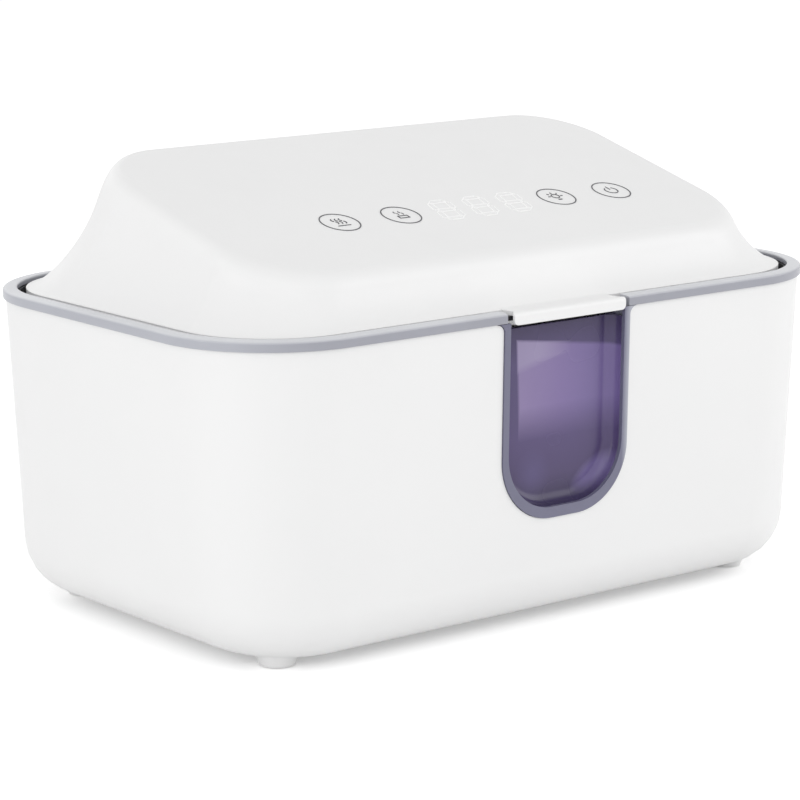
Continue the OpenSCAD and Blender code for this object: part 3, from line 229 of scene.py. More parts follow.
def block(low, high):
    """Plain block used as a cutter or joined to another solid."""
    outline = [(low[0], low[1]), (high[0], low[1]), (high[0], high[1]), (low[0], high[1])]
    return prism("block", outline, low[2], high[2], lambda u, v, w: (u, v, w))


def rod(x1, x2, radius, sides=40):
    """Cylinder on the hinge axis."""
    outline = [(radius * cos(radians(360 * k / sides)), radius * sin(radians(360 * k / sides)))
               for k in range(sides)]
    return prism("rod", outline, x1, x2, lambda u, v, w: (w, HINGE_Y + u, HINGE_Z + v))


def combine(obj, operation, tools):
    """Joins the tools to obj, or cuts them from it, and removes them."""
    for tool in tools:
        step = obj.modifiers.new("combine", "BOOLEAN")
        step.operation = operation
        step.solver = "EXACT"
        step.object = tool
        evaluated = obj.evaluated_get(bpy.context.evaluated_depsgraph_get())
        mesh = bpy.data.meshes.new_from_object(evaluated)
        obj.modifiers.remove(step)
        obj.data = mesh
        bpy.data.objects.remove(tool)
    return obj


WELD_DISTANCE = 2e-6
SHARP_ANGLE = radians(34)
FLAT_ANGLE = radians(0.4)


def smooth_group():
    """Geometry nodes that weld a mesh and shade it smooth, apart from its sharp edges."""
    group = bpy.data.node_groups.new("weld_and_smooth", "GeometryNodeTree")
    group.interface.new_socket("Geometry", in_out="INPUT", socket_type="NodeSocketGeometry")
    group.interface.new_socket("Geometry", in_out="OUTPUT", socket_type="NodeSocketGeometry")
    add = group.nodes.new
    start, end = add("NodeGroupInput"), add("NodeGroupOutput")
    remove = add("GeometryNodeRemoveAttribute")
    remove.inputs["Name"].default_value = "custom_normal"
    weld = add("GeometryNodeMergeByDistance")
    weld.inputs["Distance"].default_value = WELD_DISTANCE
    faces = add("GeometryNodeSetShadeSmooth")
    edges = add("GeometryNodeSetShadeSmooth")
    edges.domain = "EDGE"
    edges.inputs["Shade Smooth"].default_value = False
    angle = add("GeometryNodeInputMeshEdgeAngle")
    sharp = add("FunctionNodeCompare")
    sharp.inputs["B"].default_value = SHARP_ANGLE
    chain = [start, remove, weld, faces, edges, end]
    for a, b in zip(chain, chain[1:]):
        group.links.new(a.outputs["Geometry"], b.inputs["Geometry"])
    group.links.new(angle.outputs["Unsigned Angle"], sharp.inputs["A"])
    group.links.new(sharp.outputs["Result"], edges.inputs["Selection"])
    return group


SMOOTH = smooth_group()


def soften(obj, edge=0.0):
    """Smooth shading with even normals, and edges rounded by edge millimetres."""
    if edge:
        flat = obj.modifiers.new("flat", "DECIMATE")
        flat.decimate_type = "DISSOLVE"
        flat.angle_limit = FLAT_ANGLE
        rounded = obj.modifiers.new("edge", "BEVEL")
        rounded.width = edge * MM
        rounded.segments = 3
        rounded.limit_method = "ANGLE"
        rounded.angle_limit = SHARP_ANGLE
        rounded.use_clamp_overlap = True
    nodes = obj.modifiers.new("smooth", "NODES")
    nodes.node_group = SMOOTH
    even = obj.modifiers.new("even", "WEIGHTED_NORMAL")
    even.keep_sharp = True
    return obj


def weld_node(obj):
    """First step for a CAD node, whose faces come unjoined."""
    nodes = obj.modifiers.new("weld", "NODES")
    nodes.node_group = SMOOTH


def finish_piece(obj, name, body, slot, *nodes, edge=0.0):
    """Names the piece, gives it its finish and its body, and puts it in place of the CAD nodes."""
    obj.name = name
    obj.data.name = name
    obj.data.materials.clear()
    obj.data.materials.append(material_of(slot))
    soften(obj, edge)
    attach(obj, body)
    if nodes:
        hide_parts(*nodes)
    return obj


# ---------- finishes ----------


class Shader:
    """A Principled material and short calls to add nodes to it."""

    def __init__(self, name, colour, roughness, **sockets):
        self.material = bpy.data.materials.new(name)
        self.material.use_nodes = True
        self.tree = self.material.node_tree
        self.bsdf = self.tree.nodes["Principled BSDF"]
        self.bsdf.inputs["Base Color"].default_value = (*colour, 1)
        self.bsdf.inputs["Roughness"].default_value = roughness
        for socket, value in sockets.items():
            self.bsdf.inputs[socket.replace("_", " ").title().replace("Ior", "IOR")].default_value = value
        self.place = self.node("ShaderNodeTexCoord").outputs["Object"]

    def node(self, kind, **values):
        made = self.tree.nodes.new(kind)
        for key, value in values.items():
            setattr(made, key, value)
        return made

    def link(self, a, b):
        self.tree.links.new(a, b)

    def scaled(self, stretch):
        """Object coordinates stretched along each axis."""
        mapping = self.node("ShaderNodeMapping")
        mapping.inputs["Scale"].default_value = stretch
        self.link(self.place, mapping.inputs["Vector"])
        return mapping.outputs["Vector"]

    def noise(self, size, detail=2.0, place=None):
        """Noise whose features are about size millimetres."""
        made = self.node("ShaderNodeTexNoise")
        made.inputs["Scale"].default_value = 1 / (size * MM)
        made.inputs["Detail"].default_value = detail
        self.link(place or self.place, made.inputs["Vector"])
        return made.outputs["Fac"]

    def ramp(self, fac, stops):
        """Colour ramp through (position, colour) stops."""
        made = self.node("ShaderNodeValToRGB")
        ramp = made.color_ramp
        while len(ramp.elements) < len(stops):
            ramp.elements.new(0.5)
        for element, (position, colour) in zip(ramp.elements, stops):
            element.position = position
            element.color = (*colour, 1)
        self.link(fac, made.inputs["Fac"])
        return made.outputs["Color"]

    def span(self, fac, low, high, source=(0.3, 0.7)):
        """Value from low to high as fac goes over the source range."""
        made = self.node("ShaderNodeMapRange")
        for socket, value in zip(("From Min", "From Max", "To Min", "To Max"), (*source, low, high)):
            made.inputs[socket].default_value = value
        self.link(fac, made.inputs["Value"])
        return made.outputs["Result"]

    def mix(self, fac, a, b, blend="MIX"):
        """Mix of two colours, each a socket or a tuple."""
        made = self.node("ShaderNodeMix", data_type="RGBA", blend_type=blend)
        sockets = [s for s in made.inputs if s.type == "RGBA"]
        for socket, value in zip(sockets, (a, b)):
            if isinstance(value, tuple):
                socket.default_value = (*value, 1)
            else:
                self.link(value, socket)
        if isinstance(fac, float):
            made.inputs["Factor"].default_value = fac
        else:
            self.link(fac, made.inputs["Factor"])
        return next(s for s in made.outputs if s.type == "RGBA")

    def along(self, direction):
        """Place along a direction in millimetres."""
        made = self.node("ShaderNodeVectorMath", operation="DOT_PRODUCT")
        made.inputs[1].default_value = [c / MM for c in direction]
        self.link(self.place, made.inputs[0])
        return made.outputs["Value"]

    def least(self, *values):
        """Smallest of several values."""
        total = values[0]
        for value in values[1:]:
            made = self.node("ShaderNodeMath", operation="MINIMUM")
            self.link(total, made.inputs[0])
            self.link(value, made.inputs[1])
            total = made.outputs[0]
        return total

    def spot(self, centre, reach, angle, soft=0.6):
        """1 in an ellipse on the front face that is turned by angle, and 0 outside it."""
        axes = Vector((cos(angle), 0, sin(angle))), Vector((-sin(angle), 0, cos(angle)))
        joined = self.node("ShaderNodeCombineXYZ")
        for axis, half, socket in zip(axes, reach, ("X", "Y")):
            middle = axis.dot(Vector((centre[0], 0, centre[1])))
            place = self.span(self.along(axis), -1, 1, (middle - half, middle + half))
            self.link(place, joined.inputs[socket])
        length = self.node("ShaderNodeVectorMath", operation="LENGTH")
        self.link(joined.outputs[0], length.inputs[0])
        return self.span(length.outputs["Value"], 1, 0, (1 - soft, 1))

    def colour(self, socket):
        self.link(socket, self.bsdf.inputs["Base Color"])

    def roughness(self, socket):
        self.link(socket, self.bsdf.inputs["Roughness"])

    def bump(self, height, depth):
        """Relief depth millimetres high."""
        made = self.node("ShaderNodeBump")
        made.inputs["Strength"].default_value = 1
        made.inputs["Distance"].default_value = depth * MM
        self.link(height, made.inputs["Height"])
        self.link(made.outputs["Normal"], self.bsdf.inputs["Normal"])


LID_WHITE = (0.835, 0.835, 0.835)
# Painted shade: the greyer white of the lid's sloping top.
LID_TOP_PAINTED_SHADE = (0.8, 0.8, 0.8)


def shade(colour, factor):
    return tuple(min(1.0, c * factor) for c in colour)


def plastic(colour, roughness, grain=0.5, depth=0.004, drift=0.015, **sockets):
    """Moulded plastic: fine grain, slight flow marks in tone and gloss."""
    def make(name):
        s = Shader(name, colour, roughness, **sockets)
        flow = s.noise(38, 3)
        s.colour(s.ramp(flow, [(0.3, shade(colour, 1 - drift)), (0.7, shade(colour, 1 + drift))]))
        s.roughness(s.span(s.noise(9, 4), roughness * 0.85, roughness * 1.15))
        s.bump(s.noise(grain, 3), depth)
        return s.material
    return make


def rubber(colour, roughness, **sockets):
    """Soft rubber: matt, with a fine dusty mottle."""
    def make(name):
        s = Shader(name, colour, roughness, **sockets)
        s.colour(s.ramp(s.noise(1.6, 5), [(0.35, shade(colour, 0.88)), (0.65, shade(colour, 1.15))]))
        s.roughness(s.span(s.noise(3, 3), roughness * 0.9, min(1, roughness * 1.1)))
        s.bump(s.noise(0.25, 3), 0.02)
        return s.material
    return make


def brushed(colour, roughness, stretch):
    """Metal with fine lines along one axis and a few deeper marks."""
    def make(name):
        s = Shader(name, colour, roughness, metallic=1.0)
        lines = s.noise(0.4, 4, s.scaled(stretch))
        s.colour(s.ramp(lines, [(0.3, shade(colour, 0.85)), (0.7, shade(colour, 1.1))]))
        s.roughness(s.span(s.noise(6, 4), roughness * 0.75, roughness * 1.3))
        s.bump(lines, 0.01)
        return s.material
    return make


def foam(colour, cell):
    """Foam with open cells at its surface."""
    def make(name):
        s = Shader(name, colour, 0.95)
        cells = s.node("ShaderNodeTexVoronoi")
        cells.inputs["Scale"].default_value = 1 / (cell * MM)
        s.link(s.place, cells.inputs["Vector"])
        distance = cells.outputs["Distance"]
        s.colour(s.ramp(distance, [(0.15, shade(colour, 0.6)), (0.6, shade(colour, 1.25))]))
        s.bump(distance, cell * 0.35)
        return s.material
    return make


def film(name):
    """Amber heating film with a dark foil track that runs to and fro."""
    s = Shader(name, (0.5, 0.17, 0.03), 0.25, coat_weight=0.6)
    track = s.node("ShaderNodeTexWave", wave_type="BANDS", bands_direction="X", wave_profile="SIN")
    track.inputs["Scale"].default_value = 60
    track.inputs["Distortion"].default_value = 0.0
    s.link(s.place, track.inputs["Vector"])
    bands = s.ramp(track.outputs["Fac"], [(0.45, (0.55, 0.2, 0.035)), (0.55, (0.2, 0.07, 0.02))])
    s.colour(s.mix(0.35, bands, s.ramp(s.noise(12, 3), [(0.3, (0.4, 0.13, 0.02)), (0.7, (0.6, 0.22, 0.05))])))
    s.roughness(s.span(s.noise(4, 3), 0.18, 0.35))
    s.bump(track.outputs["Fac"], 0.03)
    return s.material


def board(name):
    """Circuit board: green lacquer over copper tracks, with a woven base."""
    s = Shader(name, (0.01, 0.12, 0.05), 0.35, coat_weight=0.3)
    tracks = s.node("ShaderNodeTexBrick")
    layout = (("Scale", 160.0), ("Mortar Size", 0.05), ("Brick Width", 0.9), ("Row Height", 0.45))
    for socket, value in layout:
        tracks.inputs[socket].default_value = value
    tracks.inputs["Color1"].default_value = (0.008, 0.11, 0.045, 1)
    tracks.inputs["Color2"].default_value = (0.012, 0.14, 0.055, 1)
    tracks.inputs["Mortar"].default_value = (0.03, 0.24, 0.09, 1)
    s.link(s.place, tracks.inputs["Vector"])
    s.colour(s.mix(s.span(s.noise(0.7, 2), 0.0, 0.35), tracks.outputs["Color"], (0.01, 0.08, 0.04)))
    s.roughness(s.span(s.noise(5, 3), 0.28, 0.45))
    s.bump(tracks.outputs["Fac"], 0.03)
    return s.material


def lead_cover(colour):
    """Insulation of a lead: satin, slightly uneven, with faint draw lines."""
    def make(name):
        s = Shader(name, colour, 0.42)
        s.colour(s.ramp(s.noise(2.5, 3), [(0.3, shade(colour, 0.85)), (0.7, shade(colour, 1.12))]))
        s.roughness(s.span(s.noise(1.2, 3), 0.34, 0.52))
        s.bump(s.noise(0.5, 3), 0.02)
        return s.material
    return make


def ink(colour, roughness):
    """Printed ink: dense, a little uneven at its finest scale."""
    def make(name):
        s = Shader(name, colour, roughness)
        s.colour(s.ramp(s.noise(0.15, 2), [(0.3, shade(colour, 0.9)), (0.7, shade(colour, 1.1))]))
        s.roughness(s.span(s.noise(0.4, 2), roughness * 0.85, roughness * 1.15))
        s.bump(s.noise(0.1, 2), 0.003)
        return s.material
    return make


def lid_white(name):
    """White moulded plastic with painted shade on its sloping top, over the display and the touch keys, which
    makes that top a little greyer.
    """
    s = Shader(name, LID_WHITE, 0.36)
    height = s.along((0, -sin(TOP_SLOPE), cos(TOP_SLOPE)))
    top = top_plane_z(0) * cos(TOP_SLOPE)
    # Painted shade: the white turns greyer within 3 mm of the sloping top's plane.
    tone = s.mix(s.span(height, 0, 1, (top - 3, top - 0.5)), LID_WHITE, LID_TOP_PAINTED_SHADE)
    flow = s.ramp(s.noise(38, 3), [(0.3, (0.99, 0.99, 0.99)), (0.7, (1.0, 1.0, 1.0))])
    s.colour(s.mix(1.0, tone, flow, "MULTIPLY"))
    s.roughness(s.span(s.noise(9, 4), 0.31, 0.41))
    s.bump(s.noise(0.5, 3), 0.003)
    return s.material


def trim(colour, right_painted_light_tone, reach, top_painted_highlight=None, top_highlight_reach=(0, 1)):
    """Satin grey-violet plastic, a little cloudy, with light painted into its tone: painted light and shade
    turn it from left to right, and a painted highlight pales it above a height.
    """
    def make(name):
        s = Shader(name, colour, 0.32, coat_weight=0.1, coat_roughness=0.15)
        # Painted light and shade: one tone on the left turning to another on the right.
        tone = s.mix(s.span(s.along((1, 0, 0)), 0, 1, reach), colour, right_painted_light_tone)
        # Painted highlight: a paler tone above a height.
        if top_painted_highlight:
            tone = s.mix(s.span(s.along((0, 0, 1)), 0, 1, top_highlight_reach), tone, top_painted_highlight)
        cloud = s.ramp(s.noise(22, 3), [(0.3, (0.94, 0.94, 0.945)), (0.7, (1.0, 1.0, 1.0))])
        s.colour(s.mix(1.0, tone, cloud, "MULTIPLY"))
        s.roughness(s.span(s.noise(30, 3), 0.28, 0.38))
        s.bump(s.noise(0.3, 2), 0.0015)
        return s.material
    return make


def pane(name):
    """Tinted clear plastic before a dark tank, with light and shade painted into its colour: painted shade
    deepens it towards its top and bottom edges, a painted patch of light pales it, and painted highlights
    brighten it in places.
    """
    s = Shader(name, (0.1, 0.07, 0.18), 0.25, coat_weight=0.1, coat_roughness=0.1, specular_ior_level=0.35)
    height = s.along((0, 0, 1))
    across = s.along((1, 0, 0))
    # Painted shade: the purple darkens towards the bottom and the top of the pane.
    painted_shade_ramp = s.ramp(s.span(height, 0, 1, (34, 90)),
                  [(0.0, (0.03, 0.025, 0.065)), (0.2, (0.078, 0.057, 0.14)), (0.4, (0.092, 0.067, 0.17)),
                   (0.8, (0.085, 0.065, 0.16)), (1.0, (0.052, 0.038, 0.1))])
    # Painted light: a paler patch, palest at its left, bounded on the left, at the top and below.
    pale = s.ramp(s.span(across, 0, 1, (-15, 22)),
                  [(0.0, (0.27, 0.21, 0.385)), (0.45, (0.215, 0.16, 0.345)), (0.75, (0.185, 0.14, 0.32)),
                   (1.0, (0.175, 0.13, 0.31))])
    painted_light_mask = s.least(s.span(s.along((1, 0, 0.05)), 0, 1, (-10.9, -9.9)),
                  s.span(s.along((0.13, 0, 1)), 1, 0, (83.2, 84.3)),
                  s.span(height, 0, 1, (56, 66)))
    tone = s.mix(painted_light_mask, painted_shade_ramp, pale)
    # Painted highlight at the top left corner of the painted patch of light.
    corner = s.least(painted_light_mask, s.span(s.along((-0.23, 0, 1)), 0, 0.9, (79, 81.5)), s.span(across, 0.9, 0, (-6, 6)))
    tone = s.mix(corner, tone, (0.33, 0.28, 0.44))
    # Painted highlight: a bright oval low on the right.
    tone = s.mix(s.spot((15, 44), (10, 4), radians(30)), tone, (0.16, 0.125, 0.29))
    # Painted light: a soft paler patch low on the left.
    tone = s.mix(s.spot((-8, 46), (7, 8), 0.0, soft=0.9), tone, (0.1, 0.078, 0.19))
    s.colour(s.mix(s.span(s.noise(14, 0), 0.0, 0.1, (0, 1)), tone, (0.1, 0.07, 0.2)))
    s.roughness(s.span(s.noise(12, 0), 0.2, 0.32, (0, 1)))
    s.bump(s.noise(0.5, 2), 0.001)
    return s.material


SLOT_FINISH = {
    "white_housing": plastic((0.83, 0.83, 0.83), 0.42, grain=0.4, depth=0.005, drift=0.006),
    "white_lid": lid_white,
    "white_base": plastic((0.78, 0.78, 0.78), 0.5, grain=0.3, depth=0.012, drift=0.015),
    # Rim: its left end painted paler as painted light from the left, and a painted highlight along its
    # shoulder and top.
    "grey_trim": trim((0.42, 0.43, 0.475), (0.335, 0.34, 0.385), (-112, -85),
                      (0.62, 0.63, 0.66), (RIM_Z + 2.2, RIM_Z + 2.8)),
    # Window frame: its right leg painted paler towards its outer edge, a painted highlight.
    "window_trim": trim((0.158, 0.156, 0.23), (0.42, 0.43, 0.49), (21.8, 24)),
    "purple_pane": pane,
    "charcoal_tank": plastic((0.022, 0.022, 0.026), 0.5, grain=0.35, depth=0.012, drift=0.1),
    "dark_seal": rubber((0.03, 0.03, 0.03), 0.7),
    "pale_seal": rubber((0.5, 0.5, 0.53), 0.55, subsurface_weight=0.1),
    "feet_rubber": rubber((0.6, 0.6, 0.6), 0.75),
    "steel": brushed((0.55, 0.56, 0.58), 0.32, (1, 1, 0.15)),
    "heater_aluminium": brushed((0.6, 0.61, 0.62), 0.35, (0.04, 1, 1)),
    "amber_film": film,
    "grey_foam": foam((0.08, 0.08, 0.09), 0.6),
    "contact_foam": foam((0.05, 0.05, 0.05), 0.4),
    "black_part": plastic((0.02, 0.02, 0.02), 0.45, grain=0.2, depth=0.015, drift=0.1),
    "fuse_ceramic": plastic((0.6, 0.55, 0.4), 0.25, grain=0.6, depth=0.01, drift=0.05),
    "green_board": board,
    "inlet_black": plastic((0.015, 0.015, 0.015), 0.3, grain=0.3, depth=0.006, drift=0.1),
    "display_black": plastic((0.012, 0.012, 0.012), 0.22, grain=0.4, depth=0.004, drift=0.1),
    "lamp_strip": plastic((0.5, 0.5, 0.48), 0.4, grain=0.3, depth=0.01, drift=0.04),
    "black_lead": lead_cover((0.015, 0.015, 0.015)),
    "red_lead": lead_cover((0.45, 0.02, 0.01)),
    "yellow_lead": lead_cover((0.6, 0.4, 0.03)),
    "white_lead": lead_cover((0.75, 0.75, 0.75)),
    "print_grey": ink((0.06, 0.06, 0.07), 0.5),
    "print_white": ink((0.97, 0.97, 0.97), 0.45),
}


# ---------- CAD nodes that stay ----------

NODE_SLOT = {
    "housing": "white_housing", "base_plate": "white_base", "base_screws": "steel",
    "rubber_feet": "feet_rubber", "rim_bridge": "charcoal_tank", "window_bezel": "window_trim",
    "window_seal": "dark_seal",
    "inner_tank": "charcoal_tank", "heater_plate": "heater_aluminium", "heater_film": "amber_film",
    "insulation_pad": "grey_foam", "thermistor": "black_part", "thermal_fuse": "fuse_ceramic",
    "main_board": "green_board", "board_parts": "black_part", "board_screws": "steel",
    "dc_inlet": "inlet_black", "inlet_nut": "steel", "power_lead": "black_lead",
    "heater_leads": "red_lead", "sensor_lead": "black_lead", "lamp_lead": "yellow_lead",
    "signal_lead": "white_lead", "night_light": "lamp_strip", "hinge_pins": "steel",
    "lid_inner_panel": "white_base", "lid_seal": "pale_seal", "lid_screws": "steel",
    "touch_board": "green_board", "touch_contacts": "contact_foam", "touch_board_screws": "steel",
    "display_module": "display_black", "lid_lead": "white_lead", "touch_icons": "print_grey",
    "display_digits": "print_white",
}
ROUNDED_NODES = {"rim_bridge": 0.2, "base_plate": 0.2, "rubber_feet": 0.3, "dc_inlet": 0.2}


def dress_node(name, slot):
    obj = frame["nodes"][name]
    obj.data.materials.clear()
    obj.data.materials.append(material_of(slot))
    edge = ROUNDED_NODES.get(name, 0.0)
    if edge:
        weld_node(obj)
    soften(obj, edge)


for node_name, slot_name in NODE_SLOT.items():
    dress_node(node_name, slot_name)


# ---------- rim ----------

HINGE_CUT = (29.4, 64.6)
HINGE_STRIP_W = 1.1
HINGE_STRIP_H = 0.7
RIM_GROOVE_Z = 1.35


def rim_section():
    """Section of the rim as (inset from its outer face, height), with a rounded shoulder."""
    shoulder = [tuple(bezier([(0, RIM_FACE_H), (0.02, RIM_FACE_H + 0.62), (1.1, RIM_FACE_H + 0.8)], k / 6))
                for k in range(7)]
    height = RIM_CREST - RIM_Z
    inner = [tuple(bezier([(RIM_W - 0.6, height - 0.03), (RIM_W, height), (RIM_W, height - 0.5)], k / 4))
             for k in range(5)]
    return [(0, 0), *shoulder, *inner, (RIM_W, RIM_GROOVE_Z), (RIM_LIP, RIM_GROOVE_Z), (RIM_LIP, 0)]


def make_rim():
    rim = ring_object("rim", [rim_ring(p[0], RIM_Z + p[1]) for p in rim_section()], looped=True)
    cutters = [block((-TAB_REACH, -BODY_D, RIM_Z - 1), (TAB_REACH, 0, RIM_TOP + 1))]
    for s in (-1, 1):
        x1, x2 = sorted((s * HINGE_CUT[0], s * HINGE_CUT[1]))
        strip = HINGE_STRIP_H
        cutters.append(block((x1, BODY_D / 4, RIM_Z - 1), (x2, BODY_D / 2 - HINGE_STRIP_W, RIM_TOP + 1)))
        cutters.append(block((x1, BODY_D / 4, RIM_Z + strip), (x2, BODY_D, RIM_TOP + 1)))
    combine(rim, "DIFFERENCE", cutters)
    return finish_piece(rim, "rim_trim", "base", "grey_trim", "rim_collar", edge=0.18)


make_rim()


# ---------- window pane ----------

PANE_FILLET = 3.5


def make_pane():
    """Tray-shaped pane: a back with upstanding sides that meet it in a fillet, open at the top."""
    play = PANE_WALL - FIT
    outer = u_outline(FRAME_IN_W + 2 * play, FRAME_IN_DEPTH + play, -PANE_TOP_DROP)
    tray = prism("pane", outer, -PANE_RECESS - PANE_T, LIP_BACK - FIT, on_front)
    rings = [(0, 1)]
    steps = 8
    for k in range(steps + 1):
        a = radians(90 * k / steps)
        rings.append((PANE_FILLET * (1 - cos(a)), -PANE_RECESS + PANE_FILLET * (1 - sin(a))))
    placed = [[on_front(x, up, out) for x, up in u_outline(FRAME_IN_W - 2 * inset, FRAME_IN_DEPTH - inset, 1)]
              for inset, out in rings]
    combine(tray, "DIFFERENCE", [ring_object("pocket", placed)])
    return finish_piece(tray, "window_glass", "base", "purple_pane", "window_pane", edge=0.15)


make_pane()


# ---------- lid ----------

FLARE_START = (0.19, 0.0)
FLARE_END = (0.85, 0.70)
FLARE_PULL = 0.4


def flare(t):
    """Place on the lid's flare, from the skirt (0, 0) towards the top panel's sharp edge (1, 1)."""
    rest = (1 - FLARE_END[0], 1 - FLARE_END[1])
    length = hypot(*rest)
    bend = (FLARE_END[0] - FLARE_PULL * rest[0] / length, FLARE_END[1] - FLARE_PULL * rest[1] / length)
    return bezier([(0, 0), FLARE_START, bend, FLARE_END], t)


def flare_ring(skirt, edge, uv):
    return [Vector((p.x + (q.x - p.x) * uv.x, p.y + (q.y - p.y) * uv.x, p.z + (q.z - p.z) * uv.y))
            for p, q in zip(skirt, edge)]


def top_edge(inset, drop):
    ring = rounded_ring(TOP_W / 2 - inset, TOP_D / 2 - inset, max(TOP_CORNER_R - inset, 3), 0, TOP_Y)
    return [Vector((p.x, p.y, top_plane_z(p.y) - drop)) for p in ring]


def lid_rings(inset):
    """Rings of the lid's outer face (inset 0) or its inner face, from the skirt up."""
    drop = inset / cos(TOP_SLOPE)
    skirt = upright_ring(SKIRT_INSET + inset, INNER_SKIRT_TOP if inset else SKIRT_TOP)
    edge = top_edge(inset * 0.7, drop)
    flat = top_edge(inset * 0.7 + TOP_ROUND, drop)
    rings = [flare_ring(skirt, edge, flare(k / FLARE_STEPS)) for k in range(FLARE_STEPS + 1)]
    low = rings[-1]
    for k in range(1, BEND_STEPS + 1):
        rings.append([bezier([a, b, c], k / BEND_STEPS) for a, b, c in zip(low, edge, flat)])
    return rings


def front_flare(t):
    """(y, z) of the lid's face on the front middle line."""
    uv = flare(t)
    edge_y = TOP_Y - TOP_D / 2
    skirt_y = -BODY_D / 2 + RIM_PROUD + SKIRT_INSET
    return (skirt_y + (edge_y - skirt_y) * uv.x, SKIRT_TOP + (top_plane_z(edge_y) - SKIRT_TOP) * uv.y)


def tab_solid():
    """Tab that runs from the front flare over the rim and down in front of it."""
    front = lid_low.y
    low = RIM_TOP - TAB_DROP
    high = RIM_TOP - TAB_TOP_DROP
    skirt_y = -BODY_D / 2 + RIM_PROUD + SKIRT_INSET + LID_WALL / 2
    bridge = bridge_high.z + 0.3
    nose = [(front + TAB_ROUND * (1 - cos(radians(a))), high - TAB_ROUND + TAB_ROUND * sin(radians(a)))
            for a in range(0, 91, 10)]
    sweep = [tuple(bezier([nose[-1], (skirt_y - 3, high + 0.02), (skirt_y - 1.8, SKIRT_TOP + 0.02),
                           front_flare(0.15)], k / 12)) for k in range(1, 13)]
    section = [(front, low), *nose, *sweep, (skirt_y + 0.3, SKIRT_TOP - LID_WALL / 2), (skirt_y, bridge),
               (front + TAB_T, bridge), (front + TAB_T, low)]
    return prism("tab", section, -TAB_W / 2, TAB_W / 2, lambda u, v, w: (w, u, v))


def tab_corner_cutter(s):
    """Cuts the tab's lower corner on side s to a round one."""
    r = TAB_CORNER_R
    corner = (s * TAB_W / 2, RIM_TOP - TAB_DROP)
    arc = [(corner[0] - s * r * (1 - sin(radians(a))), corner[1] + r * (1 - cos(radians(a))))
           for a in range(0, 91, 15)]
    outline = [*arc, (corner[0] + s, corner[1] + r), (corner[0] + s, corner[1] - 1),
               (corner[0] - s * r, corner[1] - 1)]
    return prism("corner", outline, lid_low.y - 1, lid_low.y + TAB_T + 1, lambda u, v, w: (u, w, v))


def tab_end_cutter(s):
    """Bevels the tab's end on side s from behind."""
    end = s * TAB_W / 2
    bevel = TAB_T - TAB_END_T
    front = lid_low.y
    outline = [(end + s, front + TAB_END_T), (end, front + TAB_END_T), (end - s * bevel, front + TAB_T),
               (end - s * bevel, 0), (end + s, 0)]
    return prism("bevel", outline, RIM_TOP - TAB_DROP - 1, RIM_TOP + 20, lambda u, v, w: (u, v, w))


def hinge_solids(s):
    """Knuckle and arm of the lid's hinge on side s."""
    x1, x2 = sorted((s * KNUCKLE_X, s * (KNUCKLE_X + KNUCKLE_L)))
    skirt_y = BODY_D / 2 - RIM_PROUD - SKIRT_INSET
    arm = [(HINGE_Y, HINGE_Z + KNUCKLE_R), (HINGE_Y, HINGE_Z - KNUCKLE_R),
           (skirt_y - LID_WALL / 2, HINGE_Z - KNUCKLE_R), (skirt_y - LID_WALL / 2, SKIRT_TOP - 0.5),
           (skirt_y - 8.6, SKIRT_TOP + 3.2), (skirt_y - 8.6, HINGE_Z + KNUCKLE_R - 0.2)]
    return [rod(x1, x2, KNUCKLE_R), prism("arm", arm, x1, x2, lambda u, v, w: (w, u, v))]


STOP_ANGLE = radians(55)
STOP_L = 10
STOP_T = 1.6
STOP_REACH = 1.4


def stop_rib(s):
    """Stop rib on the knuckle, which would meet the rim a little past the lid's upper limit."""
    along = (cos(STOP_ANGLE), sin(STOP_ANGLE))
    across = (-sin(STOP_ANGLE), cos(STOP_ANGLE))
    reach = KNUCKLE_R + STOP_REACH
    outline = [(along[0] * a + across[0] * b, along[1] * a + across[1] * b)
               for a, b in ((0, -STOP_T / 2), (reach, -STOP_T / 2), (reach, STOP_T / 2), (0, STOP_T / 2))]
    middle = s * (KNUCKLE_X + KNUCKLE_L / 2)
    return prism("rib", outline, middle - STOP_L / 2, middle + STOP_L / 2,
                 lambda u, v, w: (w, HINGE_Y + u, HINGE_Z + v))


def make_lid():
    shell = ring_object("shell", [upright_ring(SKIRT_INSET, SKIRT_BOTTOM), *lid_rings(0)])
    hollow = ring_object("hollow", [upright_ring(SKIRT_INSET + LID_WALL, SKIRT_BOTTOM - 1),
                                    *lid_rings(LID_WALL)])
    combine(shell, "DIFFERENCE", [hollow])
    cutters = [cutter(s) for cutter in (tab_corner_cutter, tab_end_cutter) for s in (-1, 1)]
    added = [combine(tab_solid(), "DIFFERENCE", cutters)]
    for s in (-1, 1):
        added += [*hinge_solids(s), stop_rib(s)]
    combine(shell, "UNION", added)
    return finish_piece(shell, "lid_dome", "lid", "white_lid", "lid_shell", edge=0.25)


make_lid()


# ---------- floor, light and camera ----------

WORLD_LEVEL = 0.78
FLOOR_HALF = 12000
FLOOR_LIFT = 0.3
LIGHT_AIM = (0, 0, 0.06)
LIGHT_SIZE = 1.2
LIGHTS = (
    ("key", (-0.7, -1.1, 0.8), 2.7),
    ("side", (-1.5, -0.1, 0.5), 4.4),
    ("fill", (1.2, -0.9, 0.6), 5.2),
    ("back", (0.2, 1.4, 0.8), 1.2),
)


def seen_or_reflected(tree):
    """1 for rays from the camera, off gloss or through clear plastic, and 0 for the rest."""
    path = tree.nodes.new("ShaderNodeLightPath")
    total = None
    for output in ("Is Camera Ray", "Is Glossy Ray", "Is Transmission Ray"):
        if total is None:
            total = path.outputs[output]
            continue
        add = tree.nodes.new("ShaderNodeMath")
        add.operation = "MAXIMUM"
        tree.links.new(total, add.inputs[0])
        tree.links.new(path.outputs[output], add.inputs[1])
        total = add.outputs[0]
    return total


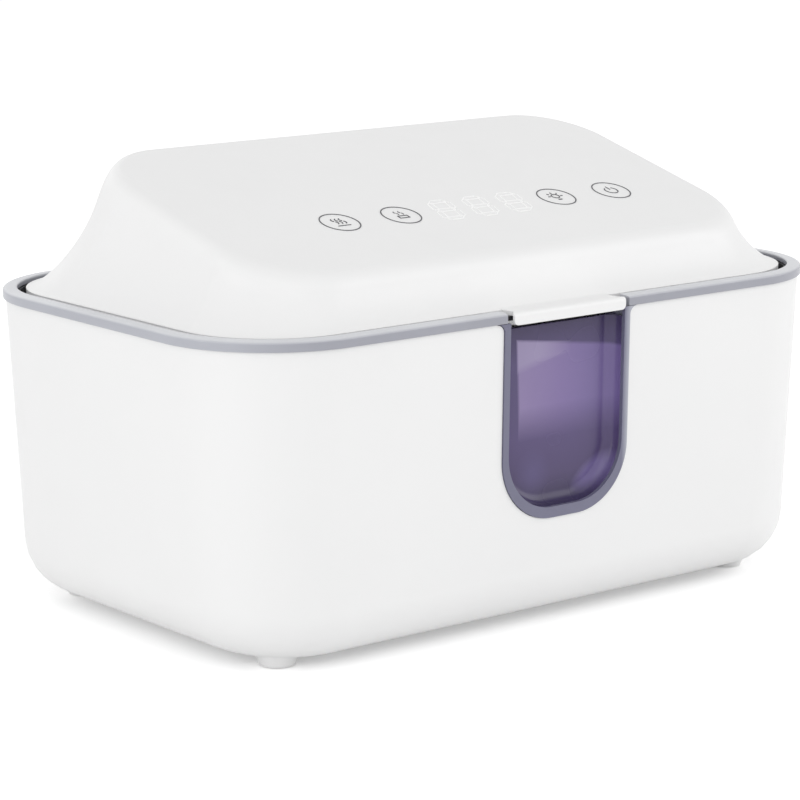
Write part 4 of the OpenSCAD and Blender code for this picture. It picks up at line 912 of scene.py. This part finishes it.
def make_world():
    world = bpy.data.worlds.new("studio")
    bpy.context.scene.world = world
    world.use_nodes = True
    tree = world.node_tree
    background = tree.nodes["Background"]
    background.inputs["Color"].default_value = (1, 1, 1, 1)
    level = tree.nodes.new("ShaderNodeMapRange")
    level.inputs["To Min"].default_value = WORLD_LEVEL
    level.inputs["To Max"].default_value = 1.0
    tree.links.new(seen_or_reflected(tree), level.inputs["Value"])
    tree.links.new(level.outputs["Result"], background.inputs["Strength"])


def make_floor():
    half = FLOOR_HALF
    floor = mesh_object("floor", [(-half, -half, 0), (half, -half, 0), (half, half, 0), (-half, half, 0)],
                        [(0, 1, 2, 3)])
    material = bpy.data.materials.new("floor")
    material.use_nodes = True
    tree = material.node_tree
    bsdf = tree.nodes["Principled BSDF"]
    bsdf.inputs["Base Color"].default_value = (0.93, 0.93, 0.93, 1)
    bsdf.inputs["Roughness"].default_value = 0.9
    bsdf.inputs["Specular IOR Level"].default_value = 0.0
    bsdf.inputs["Emission Color"].default_value = (1, 1, 1, 1)
    lift = tree.nodes.new("ShaderNodeMath")
    lift.operation = "MULTIPLY"
    lift.inputs[1].default_value = FLOOR_LIFT
    tree.links.new(seen_or_reflected(tree), lift.inputs[0])
    tree.links.new(lift.outputs[0], bsdf.inputs["Emission Strength"])
    floor.data.materials.append(material)


def area_light(name, place, power):
    light = bpy.data.lights.new(name, "AREA")
    light.shape = "DISK"
    light.size = LIGHT_SIZE
    light.energy = power
    obj = bpy.data.objects.new(name, light)
    bpy.context.scene.collection.objects.link(obj)
    obj.location = place
    obj.rotation_euler = (Vector(LIGHT_AIM) - Vector(place)).to_track_quat("-Z", "Y").to_euler()


CAMERA_AZIMUTH = radians(38.84)
CAMERA_ELEVATION = radians(11.814)
CAMERA_DISTANCE = 967.5
AIM_RIGHT = -3.17
AIM_UP = 54.8
LENS = 141.38


def make_camera():
    camera = bpy.data.cameras.new("camera")
    camera.lens = LENS
    camera.sensor_width = 36
    camera.clip_start = 0.05
    camera.clip_end = 60
    obj = bpy.data.objects.new("camera", camera)
    bpy.context.scene.collection.objects.link(obj)
    level = cos(CAMERA_ELEVATION)
    forward = Vector((sin(CAMERA_AZIMUTH) * level, cos(CAMERA_AZIMUTH) * level, -sin(CAMERA_ELEVATION)))
    right = Vector((cos(CAMERA_AZIMUTH), -sin(CAMERA_AZIMUTH), 0))
    up = right.cross(forward)
    obj.location = (right * AIM_RIGHT + up * AIM_UP - forward * CAMERA_DISTANCE) * MM
    obj.rotation_euler = forward.to_track_quat("-Z", "Y").to_euler()
    bpy.context.scene.camera = obj


make_world()
make_floor()
for light_name, light_place, light_power in LIGHTS:
    area_light(light_name, light_place, light_power)
make_camera()
bpy.context.scene.view_settings.view_transform = "Standard"
